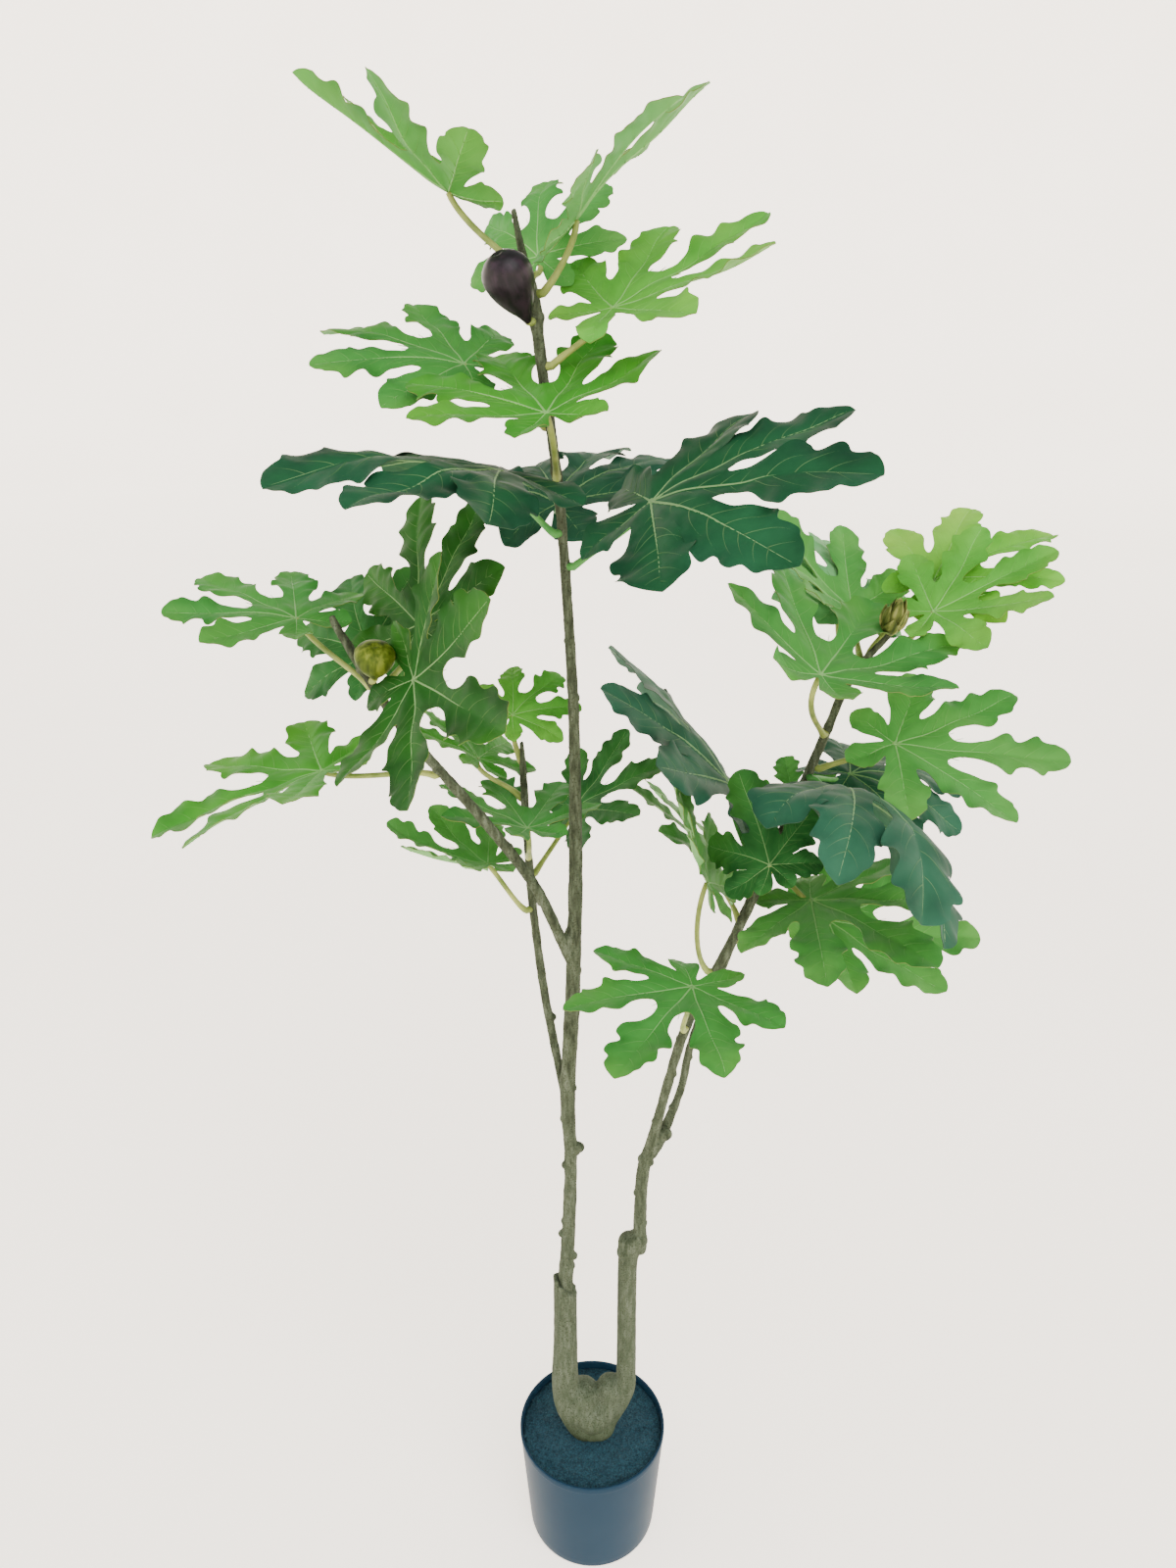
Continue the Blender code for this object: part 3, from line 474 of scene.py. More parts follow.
# Leaves: mould, limb, height of the foot, middle of the blade's base, heading, pitch and roll
# in degrees, blade length, droop and side lift in degrees, print
LEAVES = {
    "crown_leaf_left_high": (
        "slender", "leader", 1.098, (-0.086, 0.017, 1.136), 196, 28, -1, 0.102, -18, 13, "leafy"),
    "crown_leaf_right_high": (
        "slender", "leader", 1.080, (-0.011, -0.012, 1.120), 17, 49, -14, 0.105, 20, 11, "soft"),
    "crown_leaf_back_high": (
        "slender", "leader", 1.088, (-0.035, 0.049, 1.101), 96, 53, -25, 0.083, 36, -8, "fresh"),
    "crown_leaf_right": (
        "slender", "leader", 1.040, (0.011, -0.005, 1.073), 23, 24, 9, 0.115, -5, 5, "bright"),
    "crown_leaf_left": (
        "slender", "leader", 1.005, (-0.085, 0.056, 1.037), 158, 21, -15, 0.113, 22, 1, "mid"),
    "crown_leaf_front": (
        "slender", "leader", 0.975, (-0.028, -0.050, 1.018), 109, 13, -11, 0.119, 1, 9, "leafy"),
    "dark_leaf_left": (
        "broad", "leader", 0.940, (-0.057, -0.030, 0.982), 207, 16, -1, 0.145, 32, -5, "dark"),
    "dark_leaf_back": (
        "broad", "leader", 0.955, (-0.025, 0.055, 0.947), 73, 26, -3, 0.126, 39, 5, "dark_soft"),
    "dark_leaf_right": (
        "broad", "leader", 0.918, (0.035, -0.026, 0.963), 324, 20, 31, 0.147, 24, 2, "dark"),
    "left_leaf_outer": (
        "slender", "left_bough", 0.850, (-0.199, 0.006, 0.880), 143, 11, -3, 0.102, 12, 1, "mid"),
    "left_leaf_back": (
        "slender", "left_bough", 0.860, (-0.159, 0.047, 0.842), 117, 35, -33, 0.098, 30, -6, "dusk"),
    "left_leaf_upright": (
        "slender", "left_bough", 0.845, (-0.118, 0.012, 0.874), 95, 40, -42, 0.111, -3, -6, "deep"),
    "left_leaf_front": (
        "slender", "left_bough", 0.822, (-0.111, -0.070, 0.863), 304, 1, 62, 0.120, -7, 17, "deep"),
    "left_leaf_low": (
        "slender", "left_bough", 0.790, (-0.185, -0.022, 0.781), 189, -15, 2, 0.125, 7, 10, "leafy"),
    "thin_leaf_top": (
        "slender", "thin_stem", 0.765, (-0.059, 0.047, 0.796), 48, 30, 23, 0.064, 44, 6, "bright"),
    "thin_leaf_left": (
        "slender", "thin_stem", 0.735, (-0.089, 0.078, 0.749), 106, 11, 29, 0.081, 10, 5, "leafy"),
    "thin_leaf_middle": (
        "slender", "thin_stem", 0.690, (-0.047, -0.008, 0.731), 111, 0, 6, 0.091, -2, 11, "mid"),
    "thin_leaf_low": (
        "slender", "thin_stem", 0.645, (-0.078, 0.014, 0.691), 173, 5, 6, 0.082, -32, 10, "soft"),
    "thin_leaf_right": (
        "slender", "thin_stem", 0.672, (-0.014, 0.079, 0.707), 348, 33, 25, 0.085, 1, 7, "dusk"),
    "inner_leaf_dark": (
        "broad", "right_inner_branch", 0.694, (0.102, 0.039, 0.743), 143, 48, 27, 0.140, 16, -12, "dark_soft"),
    "inner_leaf_slanting": (
        "slender", "right_inner_branch", 0.655, (0.094, 0.058, 0.673), 120, 22, 38, 0.098, 9, 2, "soft"),
    "inner_leaf_left": (
        "slender", "right_inner_branch", 0.612, (0.081, -0.022, 0.695), 107, 39, 57, 0.098, 1, 6, "soft"),
    "inner_leaf_upright": (
        "young", "right_inner_branch", 0.696, (0.121, -0.041, 0.719), 105, 37, -29, 0.075, -3, -25, "dusk"),
    "outer_leaf_front_low": (
        "slender", "right_outer_branch", 0.690, (0.158, -0.012, 0.675), 303, 7, 9, 0.118, 6, 2, "fresh"),
    "outer_leaf_back_low": (
        "slender", "right_outer_branch", 0.625, (0.184, 0.041, 0.627), 357, -12, 16, 0.119, -14, 4, "fresh"),
    "outer_leaf_dark_drooping": (
        "broad", "right_outer_branch", 0.765, (0.170, -0.026, 0.767), 301, 21, -38, 0.152, 75, -12, "dark_soft"),
    "outer_leaf_right": (
        "slender", "right_outer_branch", 0.772, (0.210, 0.003, 0.791), 346, -2, 18, 0.116, -1, 2, "fresh"),
    "outer_leaf_dark_back": (
        "broad", "right_outer_branch", 0.758, (0.193, 0.054, 0.746), 19, -1, 13, 0.109, 31, -8, "dark_soft"),
    "outer_leaf_left": (
        "slender", "right_outer_branch", 0.798, (0.139, -0.070, 0.866), 64, 4, 20, 0.120, -12, 13, "mid"),
    "outer_leaf_upright": (
        "young", "right_outer_branch", 0.838, (0.177, 0.065, 0.874), 84, 28, 21, 0.100, 25, 1, "pale"),
    "top_leaf_right": (
        "slender", "right_outer_branch", 0.855, (0.232, 0.034, 0.898), 15, 27, 17, 0.099, 26, 9, "lime"),
    "top_leaf_low": (
        "slender", "right_outer_branch", 0.842, (0.224, -0.002, 0.887), 5, 25, 18, 0.088, -4, 7, "bright"),
    "top_leaf_back": (
        "slender", "right_outer_branch", 0.850, (0.184, 0.057, 0.871), 131, 29, 7, 0.104, -14, 9, "fresh"),
    "outer_leaf_small": (
        "slender", "right_outer_branch", 0.738, (0.164, 0.090, 0.693), 96, 33, -12, 0.068, 17, 0, "fresh"),
    "low_leaf_front": (
        "slender", "right_inner_branch", 0.563, (0.070, -0.053, 0.628), 240, 3, -5, 0.113, 12, 7, "mid"),
}


def lobe_angle(kind, lobe):
    return math.radians(LOBES[kind][abs(lobe)][0]) * (1 if lobe >= 0 else -1)


def half_width(kind, lobe, share, side):
    """Half width of a lobe at a share of its length; side is 1 on its left and -1 on its right."""
    edge = EDGES[abs(lobe)][0 if side * (1 if lobe > 0 else -1) < 0 else 1]
    reach, wide = zip(*sorted(edge + ((1.0, 0.0),)))
    return float(np.interp(share, reach, wide)) * LOBES[kind][abs(lobe)][2]


def stamp_blade(kind):
    """Flat leaf of a mould, x and y in shares of its length and z in metres, with its veins."""
    controls, bases = [], []
    for lobe in range(-3, 4):
        turn = lobe_angle(kind, lobe)
        length, width = LOBES[kind][abs(lobe)][1:]
        along = Vector((math.cos(turn), math.sin(turn), 0))
        across = Vector((-along.y, along.x, 0))
        facing_tip, facing_stalk = EDGES[abs(lobe)]
        right, left = (facing_stalk, facing_tip) if lobe < 0 else (facing_tip, facing_stalk)
        first = len(controls)
        controls += [along * length * s - across * width * w for s, w in right]
        controls.append(along * length)
        controls += [along * length * s + across * width * w for s, w in reversed(left)]
        bases.append((first, len(controls) - 1))
        if lobe < 3:
            turn = (turn + lobe_angle(kind, lobe + 1)) / 2
            reach = CUTS[kind][min(abs(lobe), abs(lobe + 1))]
            controls.append(Vector((math.cos(turn), math.sin(turn), 0)) * reach)
    controls.append(Vector((-BACK_NOTCH, 0, 0)))

    steps = 3
    bm = bmesh.new()
    count = len(controls)
    outline = []
    for i in range(count):
        a, b, c, d = (controls[(i + k) % count] for k in (-1, 0, 1, 2))
        for s in range(steps):
            t = s / steps
            outline.append(0.5 * (2 * b + (c - a) * t + (2 * a - 5 * b + 4 * c - d) * t * t
                                  + (3 * b - a - 3 * c + d) * t * t * t))
    for _ in range(2):
        outline = [(outline[i - 1] + 2 * outline[i] + outline[(i + 1) % len(outline)]) / 4
                   for i in range(len(outline))]
    edge = [bm.verts.new(spot) for spot in outline]
    palm = []
    for k, (first, last) in enumerate(bases):
        bm.faces.new(edge[first * steps:last * steps + 1]).material_index = k + 1
        after = bases[k + 1][0] * steps if k < 6 else len(edge)
        palm += [edge[first * steps]] + edge[last * steps:after]
    bm.faces.new(palm)
    for axis in (Vector((1, 0, 0)), Vector((0, 1, 0))):
        for k in range(*((-24, 66) if axis.x else (-60, 60))):
            bmesh.ops.bisect_plane(bm, geom=bm.verts[:] + bm.edges[:] + bm.faces[:], dist=1e-5,
                                   plane_co=axis * (k + 0.37) * 0.0155, plane_no=axis)
    bmesh.ops.dissolve_degenerate(bm, dist=0.0012, edges=bm.edges)
    thick = bmesh.ops.extrude_face_region(bm, geom=list(bm.faces))["geom"]
    for v in bm.verts:
        v.co.z = -CLOTH / 2
    for v in (part for part in thick if isinstance(part, bmesh.types.BMVert)):
        v.co.z = CLOTH / 2
    bmesh.ops.recalc_face_normals(bm, faces=bm.faces)
    lobe_of = [max(f.material_index for f in v.link_faces) - 4 if any(
        f.material_index for f in v.link_faces) else None for v in bm.verts]
    for face in bm.faces:
        face.material_index = 5 if face.normal.z < -0.5 else 4 if face.normal.z > 0.5 else 1
    for e in bm.edges:
        if len(e.link_faces) == 2 and e.calc_face_angle(0) > 0.8:
            e.smooth = False

    def vein(lobe, path, wide, tall, index):
        """Slim raised rib through the cloth, from the width and height at its root."""
        start, first = len(bm.verts), len(bm.faces)
        rows = []
        for i, spot in enumerate(path):
            left = 1 - 0.65 * i / (len(path) - 1)
            rows.append(Vector((spot[0], spot[1], 0, wide * left)))
        grow(bm, rows, 4, 1.0, Vector((0, 0, 1)))
        bm.verts.ensure_lookup_table()
        for v in bm.verts[start:]:
            v.co.z *= tall / wide
            lobe_of.append(lobe)
        bm.faces.ensure_lookup_table()
        for face in bm.faces[first:]:
            face.material_index = index

    random.seed(len(kind))
    for lobe in range(-3, 4):
        turn = lobe_angle(kind, lobe)
        length = LOBES[kind][abs(lobe)][1]
        along = Vector((math.cos(turn), math.sin(turn)))
        across = Vector((-along.y, along.x))
        strength = 0.65 + 0.35 * length
        sway = random.uniform(-0.012, 0.012)
        vein(lobe, [along * length * s / 22 * 0.96 + across * sway * math.sin(s / 22 * 5)
                    for s in range(23)], 0.0088 * strength, 0.0010 * strength, 2)
        for side in (-1, 1):
            share = 0.20 + 0.02 * side
            while share < 0.90:
                u, v, path = share * length, 0.0, []
                steep = math.radians(random.uniform(48, 58) if share > 0.35 else 42)
                while len(path) < 11:
                    path.append(along * u + across * v * side)
                    u += 0.022 * math.cos(steep)
                    v += 0.022 * math.sin(steep)
                    steep -= 0.058
                    room = half_width(kind, lobe, u / length, side) if u / length > 0.4 else 9
                    if u / length < 0.55:
                        others = [abs(lobe_angle(kind, other) - turn) for other in range(-3, 4)
                                  if other != lobe]
                        room = min(room, u * math.tan(min(others) / 2))
                    if v > room * 0.86 or u > 0.97 * length:
                        break
                if len(path) > 2:
                    vein(lobe, path, 0.0040 * strength, 0.0006, 3)
                share += random.uniform(0.075, 0.135) / length ** 0.5
    start = len(bm.verts)
    button = bmesh.ops.create_icosphere(bm, subdivisions=2, radius=0.017, matrix=Matrix.Diagonal(
        (1, 1, 0.05, 1)))
    for face in {f for v in button["verts"] for f in v.link_faces}:
        face.material_index = 2
    lobe_of += [0] * (len(bm.verts) - start)
    mesh = bpy.data.meshes.new(kind)
    bm.to_mesh(mesh)
    bm.free()
    spots = np.empty(len(mesh.vertices) * 3)
    mesh.vertices.foreach_get("co", spots)
    spots = spots.reshape(-1, 3)
    nearest = np.argmin([np.abs(np.arctan2(np.sin(np.arctan2(spots[:, 1], spots[:, 0]) - t),
                                           np.cos(np.arctan2(spots[:, 1], spots[:, 0]) - t)))
                         for t in (lobe_angle(kind, lobe) for lobe in range(-3, 4))], axis=0) - 3
    lobes = np.array([nearest[i] if lobe is None else lobe for i, lobe in enumerate(lobe_of)])
    tint = mesh.attributes.new("vein_distance", "FLOAT", "POINT")
    flat = mesh.uv_layers.new(name="cloth")
    corners = np.empty(len(mesh.loops), dtype=int)
    mesh.loops.foreach_get("vertex_index", corners)
    flat.data.foreach_set("uv", spots[corners, :2].ravel())
    turns = np.array([lobe_angle(kind, lobe) for lobe in lobes])
    aside = np.abs(-spots[:, 0] * np.sin(turns) + spots[:, 1] * np.cos(turns))
    tint.data.foreach_set("value", aside)
    tips = mesh.attributes.new("tip_nearness", "FLOAT", "POINT")
    tips.data.foreach_set("value", np.hypot(spots[:, 0], spots[:, 1]) / np.array(
        [LOBES[kind][abs(lobe)][1] for lobe in lobes]))
    return mesh, spots, lobes


def ease(value):
    value = np.clip(value, 0, 1)
    return value * value * (3 - 2 * value)


def bend(x, y, length, droop, lift):
    """Flat blade points to their drooping and folded places, in the leaf's frame."""
    x, y = x * length, y * length
    reach = np.hypot(x, y) + 1e-9
    curl = (math.radians(droop) or 1e-6) / length
    out = np.sin(curl * reach) / curl / reach
    drop = (1 - np.cos(curl * reach)) / curl
    soft = np.hypot(y * out, 0.04 * length) - 0.04 * length
    fold = math.radians(lift)
    return np.stack((x * out, y * out * math.cos(fold), soft * math.sin(fold) - drop), axis=1)


def shape_leaf(kind, spots, lobes, length, droop, lift, seed):
    """Places of all the points of a leaf in its own frame, with its folds and ripples."""
    dice = np.random.default_rng(seed)
    curls = dice.uniform(-0.040, 0.040, 7)
    twists = dice.uniform(-0.30, 0.30, 7)
    phases = dice.uniform(0, 6.28, (7, 2))
    swing, beat = dice.uniform(0, 6.28, 2)
    turns = np.array([lobe_angle(kind, lobe) for lobe in lobes])
    sizes = np.array([LOBES[kind][abs(lobe)] for lobe in lobes])
    x, y, z = spots.T
    u = x * np.cos(turns) + y * np.sin(turns)
    v = -x * np.sin(turns) + y * np.cos(turns)
    aside = np.abs(v)
    start = sizes[:, 1] * np.where(np.abs(lobes) == 3, 0.46, 0.42)
    rise = ease((u - start) / (sizes[:, 1] - start))
    free = ease((u - start) / 0.12)
    valley = 0.024 * (1 - np.exp(-aside / 0.055))
    quilt = 0.0016 * np.sin(2 * np.pi * (u - 0.75 * aside) / 0.105) * ease(aside / 0.05) * ease(u / 0.3)
    phase = phases[lobes + 3, (v > 0).astype(int)]
    wave = 0.009 * np.sin(2 * np.pi * (x * np.cos(swing) + y * np.sin(swing)) / 0.42 + beat)
    ripple = 0.018 * np.sin(2 * np.pi * u / 0.19 + phase) * (aside / sizes[:, 2]) ** 2 * free
    relief = (valley + quilt + ripple + wave * ease(np.hypot(x, y) / 0.2)
              + curls[lobes + 3] * rise ** 2 + twists[lobes + 3] * v * rise)
    if kind == "broad":
        relief += free * np.where(lobes == 0, 0.014, np.where(np.abs(lobes) == 1, -0.012, 0.0))
    middle = bend(x, y, length, droop, lift)
    step = 0.01
    dx = bend(x + step, y, length, droop, lift) - middle
    dy = bend(x, y + step, length, droop, lift) - middle
    normal = np.cross(dx, dy)
    normal /= np.linalg.norm(normal, axis=1, keepdims=True)
    return middle + normal * (relief * length + z)[:, None]


def leaf_frame(heading, pitch, roll):
    h, p, r = (math.radians(a) for a in (heading, pitch, roll))
    ahead = Vector((math.cos(p) * math.cos(h), math.cos(p) * math.sin(h), math.sin(p)))
    left = Vector((-math.sin(h), math.cos(h), 0.0))
    left = left * math.cos(r) + ahead.cross(left) * math.sin(r)
    return ahead, left, ahead.cross(left)


def stalk_path(foot, out, hub, ahead, up, foot_length=0.004, steps=14):
    """From square off the limb to the underside of the blade, with the sleeve's radius."""
    span = (hub - foot).length
    start = foot + out * foot_length
    arrive = (ahead * 0.75 + up * 0.66).normalized()
    b = start + out * span * 0.16 + Vector((0, 0, span * 0.13))
    c = hub - arrive * span * 0.25
    path = [foot]
    for s in range(steps + 1):
        t = s / steps
        q = 1 - t
        path.append(start * q ** 3 + b * 3 * q * q * t + c * 3 * q * t * t + hub * t ** 3)
    walked = 0.0
    rows = []
    for i, spot in enumerate(path):
        walked += (spot - path[max(i - 1, 0)]).length
        radius = np.interp(walked, (0.0, 0.004, 0.009, 0.013, 0.016, 0.030),
                           (0.0029, 0.0027, 0.0024, 0.0022, 0.0020, 0.0019))
        rows.append(Vector((*spot, radius)))
    return rows


# Printed polyester: satin, flat print that yellows in soft blotches towards the tips, with a
# faint woven tooth.  Each print is near a vein, between veins, and the blotch with its strength.
PRINTS = {
    "leafy": ("378325", "2A6C1C", "55952A", 0.6), "fresh": ("43883B", "347431", "5F9A45", 0.65),
    "mid": ("3A7F36", "2C6B2A", "559238", 0.65), "bright": ("4F9A35", "3F8629", "72AE3C", 0.65),
    "soft": ("4F9145", "3F8137", "6C9E52", 0.55), "pale": ("62A366", "52955A", "76B070", 0.5),
    "lime": ("5FAB33", "4D9A28", "90BE48", 0.8), "deep": ("174A15", "0F360D", "2F6A1A", 0.5),
    "dusk": ("2A6330", "1C4C22", "3F7A2E", 0.5), "dark": ("17452A", "0E3421", "225A3C", 0.5),
    "dark_soft": ("244F3A", "193E2E", "33654F", 0.5),
}
# What lies over the print: paler ink on the raised veins, and a duller tone on the underside
OVERPRINTS = {"vein": (0.34, "ACD490"), "small vein": (0.13, "A5C680"), "top": (0.0, "FFFFFF"),
              "under": (0.06, "9DB79A")}
cloth_materials = {}
for print_name, part in [(name, part) for name in PRINTS for part in OVERPRINTS]:
    near_vein, between, blotch_tone, blotch_strength = PRINTS[print_name]
    cloth, tree, shader = new_material("printed cloth " + print_name + " " + part, 0.55, 0.07)
    where = add_node(tree, "ShaderNodeTexCoord").outputs["Object"]
    distance = add_node(tree, "ShaderNodeAttribute", attribute_name="vein_distance").outputs["Fac"]
    nearness = add_node(tree, "ShaderNodeAttribute", attribute_name="tip_nearness").outputs["Fac"]
    mottle = add_node(tree, "ShaderNodeTexNoise", {"Vector": where, "Scale": 38.0, "Detail": 3.0})
    spread = add_node(tree, "ShaderNodeMath", {0: distance, 1: 5.0}, operation="MULTIPLY")
    shift = add_node(tree, "ShaderNodeMath", {
        0: mottle.outputs["Fac"], 1: 1.8, 2: -0.9}, operation="MULTIPLY_ADD")
    place = add_node(tree, "ShaderNodeMath", {
        0: spread.outputs["Value"], 1: shift.outputs["Value"]})
    ground = add_node(tree, "ShaderNodeValToRGB", {"Fac": place.outputs["Value"]},
                      ((0.0, near_vein), (0.75, between)))
    blotch = add_node(tree, "ShaderNodeTexNoise", {"Vector": where, "Scale": 17.0, "Detail": 1.0})
    blotched = add_node(tree, "ShaderNodeValToRGB", {"Fac": blotch.outputs["Fac"]},
                        ((0.39, 0.0), (0.63, blotch_strength)))
    ripened = add_node(tree, "ShaderNodeValToRGB", {"Fac": nearness}, ((0.35, 0.25), (0.95, 1.0)))
    reached = add_node(tree, "ShaderNodeMath", {
        0: blotched.outputs["Color"], 1: ripened.outputs["Color"]}, operation="MULTIPLY")
    printed = add_node(tree, "ShaderNodeMix", {
        "Factor": reached.outputs["Value"], "A": ground.outputs["Color"],
        "B": linear(blotch_tone)}, data_type="RGBA")
    share, tone = OVERPRINTS[part]
    inked = add_node(tree, "ShaderNodeMix", {
        "Factor": share, "A": printed.outputs["Result"], "B": linear(tone)}, data_type="RGBA")
    tree.links.new(inked.outputs["Result"], shader.inputs["Base Color"])
    # Pillows between the small veins, and the tooth of the weave, drawn 0.6 mm coarse to show
    pillow = add_node(tree, "ShaderNodeBump", {
        "Height": mottle.outputs["Fac"], "Strength": 0.45, "Distance": 0.002})
    tooth = add_node(tree, "ShaderNodeTexNoise", {"Vector": where, "Scale": 1600.0})
    weave = add_node(tree, "ShaderNodeBump", {
        "Height": tooth.outputs["Fac"], "Strength": 0.12, "Distance": 0.0003,
        "Normal": pillow.outputs["Normal"]})
    tree.links.new(weave.outputs["Normal"], shader.inputs["Normal"])
    cloth_materials[print_name + part] = cloth

# The cloth's cut edge is singed brown; the stalk's sleeve is extruded soft plastic, yellow green
# on the green leaves and leaf green on the dark ones.
TRIMS = {
    "edge_green": ("4E6A2A", "5F6A30"), "edge_dark": ("1E3A2A", "2C4630"),
    "sleeve_green": ("66783A", "929C55"), "sleeve_dark": ("3A7A38", "55914A"),
}
trim_materials = {}
for trim_name, (first_tone, second_tone) in TRIMS.items():
    trim, tree, shader = new_material("cloth trim " + trim_name, 0.5, 0.12)
    where = add_node(tree, "ShaderNodeTexCoord").outputs["Object"]
    change = add_node(tree, "ShaderNodeTexNoise", {"Vector": where, "Scale": 60.0, "Detail": 3.0})
    tint = add_node(tree, "ShaderNodeValToRGB", {"Fac": change.outputs["Fac"]},
                    ((0.35, first_tone), (0.65, second_tone)))
    tree.links.new(tint.outputs["Color"], shader.inputs["Base Color"])
    trim_materials[trim_name] = trim

moulds = {kind: stamp_blade(kind) for kind in LOBES}
# Each group's limb, the first word of its leaves' names, and the dye of its sleeves
GROUPS = {
    "crown_leaves": ("leader", "", "green"), "left_bough_leaves": ("left_bough", "", "green"),
    "thin_stem_leaves": ("thin_stem", "", "green"),
    "inner_branch_leaves": ("right_inner_branch", "", "green"),
    "outer_branch_leaves": ("right_outer_branch", "outer", "green"),
    "branch_tip_leaves": ("right_outer_branch", "top", "green"), "dark_leaves": ("", "", "dark"),
}
for group, (carrier, first_word, dye) in GROUPS.items():
    members = [name for name, row in LEAVES.items()
               if (row[0] == "broad") == (dye == "dark") and row[1].startswith(carrier)
               and name.startswith(first_word)]
    prints = sorted({LEAVES[name][10] for name in members})
    whole = bmesh.new()
    for name in members:
        kind, limb, height, hub, heading, pitch, roll, length, droop, lift, tone = LEAVES[name]
        mesh, spots, lobes = moulds[kind]
        ahead, left, up = leaf_frame(heading, pitch, roll)
        turn = np.array((ahead, left, up))
        shaped = shape_leaf(kind, spots, lobes, length, droop, lift, list(LEAVES).index(name))
        placed = shaped @ turn + np.array(hub)
        copy = mesh.copy()
        copy.vertices.foreach_set("co", placed.ravel())
        kinds = np.empty(len(copy.polygons), dtype=np.int32)
        copy.polygons.foreach_get("material_index", kinds)
        kinds = np.where(kinds > 1, kinds + 4 * prints.index(tone), kinds)
        copy.polygons.foreach_set("material_index", kinds)
        whole.from_mesh(copy)
        bpy.data.meshes.remove(copy)
        axis, grain, girth = limb_at(limb, height)
        hub_point = Vector(hub) - up * CLOTH
        out = hub_point - axis
        out = (out - grain * out.dot(grain)).normalized()
        grow(whole, stalk_path(axis + out * (girth - 0.0008), out, hub_point, ahead, up), 10)
    materials = [trim_materials["sleeve_" + dye], trim_materials["edge_" + dye]]
    materials += [cloth_materials[tone + part] for tone in prints for part in OVERPRINTS]
    add_piece(group, whole, materials, members)

# ---- Figs
# Moulded foam fruit with a painted skin, and one unripe bud wrapped in pointed scales.  Each is
# glued on a short wired stalk.
FIGS = {
    "fig_purple": ("leader", 1.066, (-0.062, -0.036, 1.118), 0.044, 0.030),
    "fig_green": ("left_bough", 0.852, (-0.135, -0.060, 0.890), 0.028, 0.026),
    "fig_bud": ("right_outer_branch", 0.872, (0.199, -0.015, 0.899), 0.030, 0.0185),
}
SKINS = {
    "fig_purple": (0.36, 0.20, ("08080A", "120D13", "271B26")),
    "fig_green": (0.48, 0.10, ("2C3A0D", "4C5C18", "707C2C")),
    "fig_bud": (0.6, 0.08, ("2E3A1C", "626B36", "A3A265")),
}
FIG_OUTLINE = ((0.0, 0.13), (0.06, 0.20), (0.14, 0.32), (0.24, 0.52), (0.34, 0.69), (0.45, 0.84),
               (0.56, 0.95), (0.66, 1.0), (0.75, 0.98), (0.83, 0.88), (0.90, 0.70), (0.95, 0.50),
               (0.985, 0.26), (0.985, 0.16), (0.97, 0.08), (0.965, 0.0))
BUD_OUTLINE = ((0.0, 0.20), (0.08, 0.42), (0.20, 0.62), (0.35, 0.70), (0.50, 0.62), (0.65, 0.46),
               (0.80, 0.26), (0.92, 0.10), (0.96, 0.0))
BUD_SCALES = 9
random.seed(31)
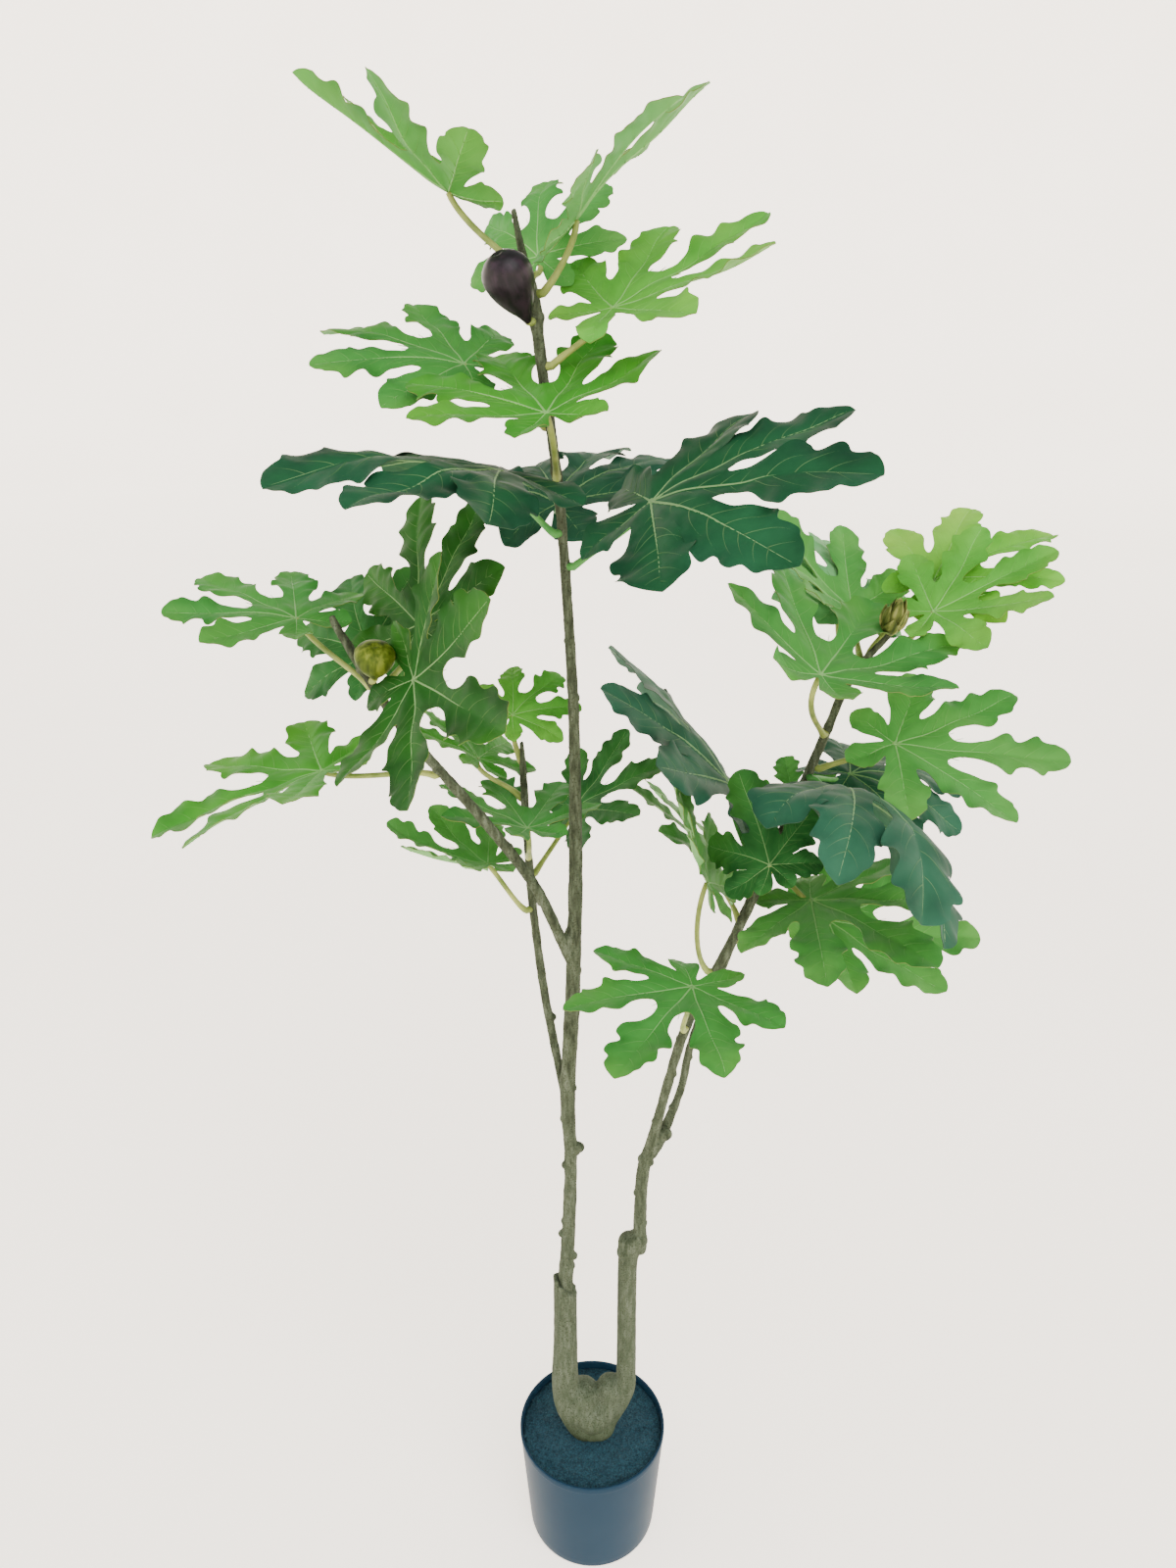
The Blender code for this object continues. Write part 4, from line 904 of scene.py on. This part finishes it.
for name, (limb, height, heart, length, width) in FIGS.items():
    roughness, gloss, tones = SKINS[name]
    axis, grain, girth = limb_at(limb, height)
    out = Vector(heart) - axis
    out = (out - grain * out.dot(grain)).normalized()
    start = axis + out * (girth + 0.0033)
    run = (Vector(heart) - start).normalized()
    outline = BUD_OUTLINE if name == "fig_bud" else FIG_OUTLINE
    fruit = turned([(wide * width / 2, share * length) for share, wide in outline[::-1]]
                   + [(0.0, 0.0)], 48)
    if name == "fig_bud":
        # Scales in three rounds, each a flat blade that follows the bud and stands off at its tip
        for k in range(BUD_SCALES):
            bearing = 2 * math.pi * k / 3 + (k // 3) * 1.1
            side = Vector((math.cos(bearing), math.sin(bearing), 0))
            reach = (0.62, 0.85, 1.0)[k // 3] * random.uniform(0.94, 1.0)
            path = []
            for s in range(9):
                t = s / 8
                bulge = 0.30 + 1.15 * t - (0.55 + 0.25 * (k // 3)) * t * t
                bulge *= 1.1 - 0.12 * (k // 3)
                spread = 0.0050 * math.sin(math.pi * (0.18 + 0.80 * t)) * (1.0 if t < 1 else 0.2)
                away = side * width * 0.5 * bulge
                path.append(Vector((away.x, away.y, length * reach * t, spread)))
            grow(fruit, path, 8, 0.22, side)
    own_place = fruit.verts.layers.float_vector.new("skin_place")
    for v in fruit.verts:
        bearing = math.atan2(v.co.y, v.co.x)
        v.co.xy *= 1 + 0.012 * math.cos(7 * bearing) * math.sin(math.pi * v.co.z / length)
        v[own_place] = v.co / length
    bmesh.ops.transform(fruit, verts=fruit.verts, matrix=(
        Matrix.Translation(start) @ run.to_track_quat("Z", "Y").to_matrix().to_4x4()))
    stalk = [Vector((*(axis + out * (girth - 0.001)), 0.0028)),
             Vector((*(axis + out * (girth + 0.0015)), 0.0024)),
             Vector((*start, 0.0021)), Vector((*(start + run * length * 0.08), 0.0019))]
    first = len(fruit.faces)
    grow(fruit, stalk, 10)
    fruit.faces.ensure_lookup_table()
    for face in fruit.faces[first:]:
        face.material_index = 1
    # Painted foam skin: satin, dyed in streaks that run from stalk to eye, freckled dark.
    skin, tree, shader = new_material("painted fig skin " + name[4:], roughness, gloss)
    own = add_node(tree, "ShaderNodeAttribute", attribute_name="skin_place").outputs["Vector"]
    along = add_node(tree, "ShaderNodeMapping", {"Vector": own, "Scale": (7.0, 7.0, 1.0)})
    streak = add_node(tree, "ShaderNodeTexNoise", {"Vector": along.outputs["Vector"], "Scale": 1.0,
                                                   "Detail": 4.0})
    dyed = add_node(tree, "ShaderNodeValToRGB", {"Fac": streak.outputs["Fac"]},
                    tuple(zip((0.32, 0.5, 0.68), tones)))
    freckle = add_node(tree, "ShaderNodeTexNoise", {"Vector": own, "Scale": 22.0, "Detail": 2.0})
    spotted = add_node(tree, "ShaderNodeValToRGB", {"Fac": freckle.outputs["Fac"]},
                       ((0.64, 0.0), (0.70, 0.6)))
    stained = add_node(tree, "ShaderNodeMix", {
        "Factor": spotted.outputs["Color"], "A": dyed.outputs["Color"], "B": linear(tones[0])},
        data_type="RGBA")
    tree.links.new(stained.outputs["Result"], shader.inputs["Base Color"])
    ribs = add_node(tree, "ShaderNodeBump", {"Height": streak.outputs["Fac"], "Strength": 0.15,
                                             "Distance": 0.0006})
    tree.links.new(ribs.outputs["Normal"], shader.inputs["Normal"])
    add_piece(name + "_fruit", fruit, [skin, trim_materials["sleeve_green"]], [name])

# ---- Studio
# A pale painted bowl: flat floor that curves up far away on every side, lit softly.
studio = turned([(0.0, 0.0), (2.0, 0.0), (6.0, 0.0)]
                + [(6.0 + 3.0 * math.sin(math.radians(a)), 3.0 - 3.0 * math.cos(math.radians(a)))
                   for a in range(10, 91, 8)] + [(9.0, 5.0)], 96)
bmesh.ops.recalc_face_normals(studio, faces=studio.faces)
bowl_mesh = bpy.data.meshes.new("studio_floor")
studio.to_mesh(bowl_mesh)
studio.free()
bowl_mesh.shade_smooth()
# Matt wall paint, warm white and faintly clouded, with a glow of its own for soft light all round.
paint, tree, shader = new_material("matt studio paint", 0.95, 0.1)
where = add_node(tree, "ShaderNodeTexCoord").outputs["Object"]
mottle = add_node(tree, "ShaderNodeTexNoise", {"Vector": where, "Scale": 1.3, "Detail": 4.0})
cloudy = add_node(tree, "ShaderNodeValToRGB", {"Fac": mottle.outputs["Fac"]},
                  ((0.3, "F2ECE4"), (0.7, "F7F2EB")))
tree.links.new(cloudy.outputs["Color"], shader.inputs["Base Color"])
shader.inputs["Emission Color"].default_value = linear("FBF0E2")
shader.inputs["Emission Strength"].default_value = 1.6
bowl_mesh.materials.append(paint)
bowl = bpy.data.objects.new("studio_floor", bowl_mesh)
bpy.context.scene.collection.objects.link(bowl)

world = bpy.data.worlds.new("soft white sky")
world.use_nodes = True
world.node_tree.nodes["Background"].inputs["Color"].default_value = linear("F8F6F2")
world.node_tree.nodes["Background"].inputs["Strength"].default_value = 0.7
bpy.context.scene.world = world
for lamp_name, power, spread, tilt, turn in (
        ("soft window", 2.6, 50, 38, 25), ("fill panel", 1.0, 70, 50, -60)):
    lamp_data = bpy.data.lights.new(lamp_name, "SUN")
    lamp_data.energy = power
    lamp_data.angle = math.radians(spread)
    lamp = bpy.data.objects.new(lamp_name, lamp_data)
    lamp.rotation_euler = (math.radians(tilt), 0, math.radians(turn))
    bpy.context.scene.collection.objects.link(lamp)

camera_data = bpy.data.cameras.new("camera")
camera_data.lens = 27
camera = bpy.data.objects.new("camera", camera_data)
camera.location = (-0.0039, -0.7582, 1.0961)
camera.rotation_euler = (math.radians(66.21), 0, 0)
bpy.context.scene.collection.objects.link(camera)
bpy.context.scene.camera = camera
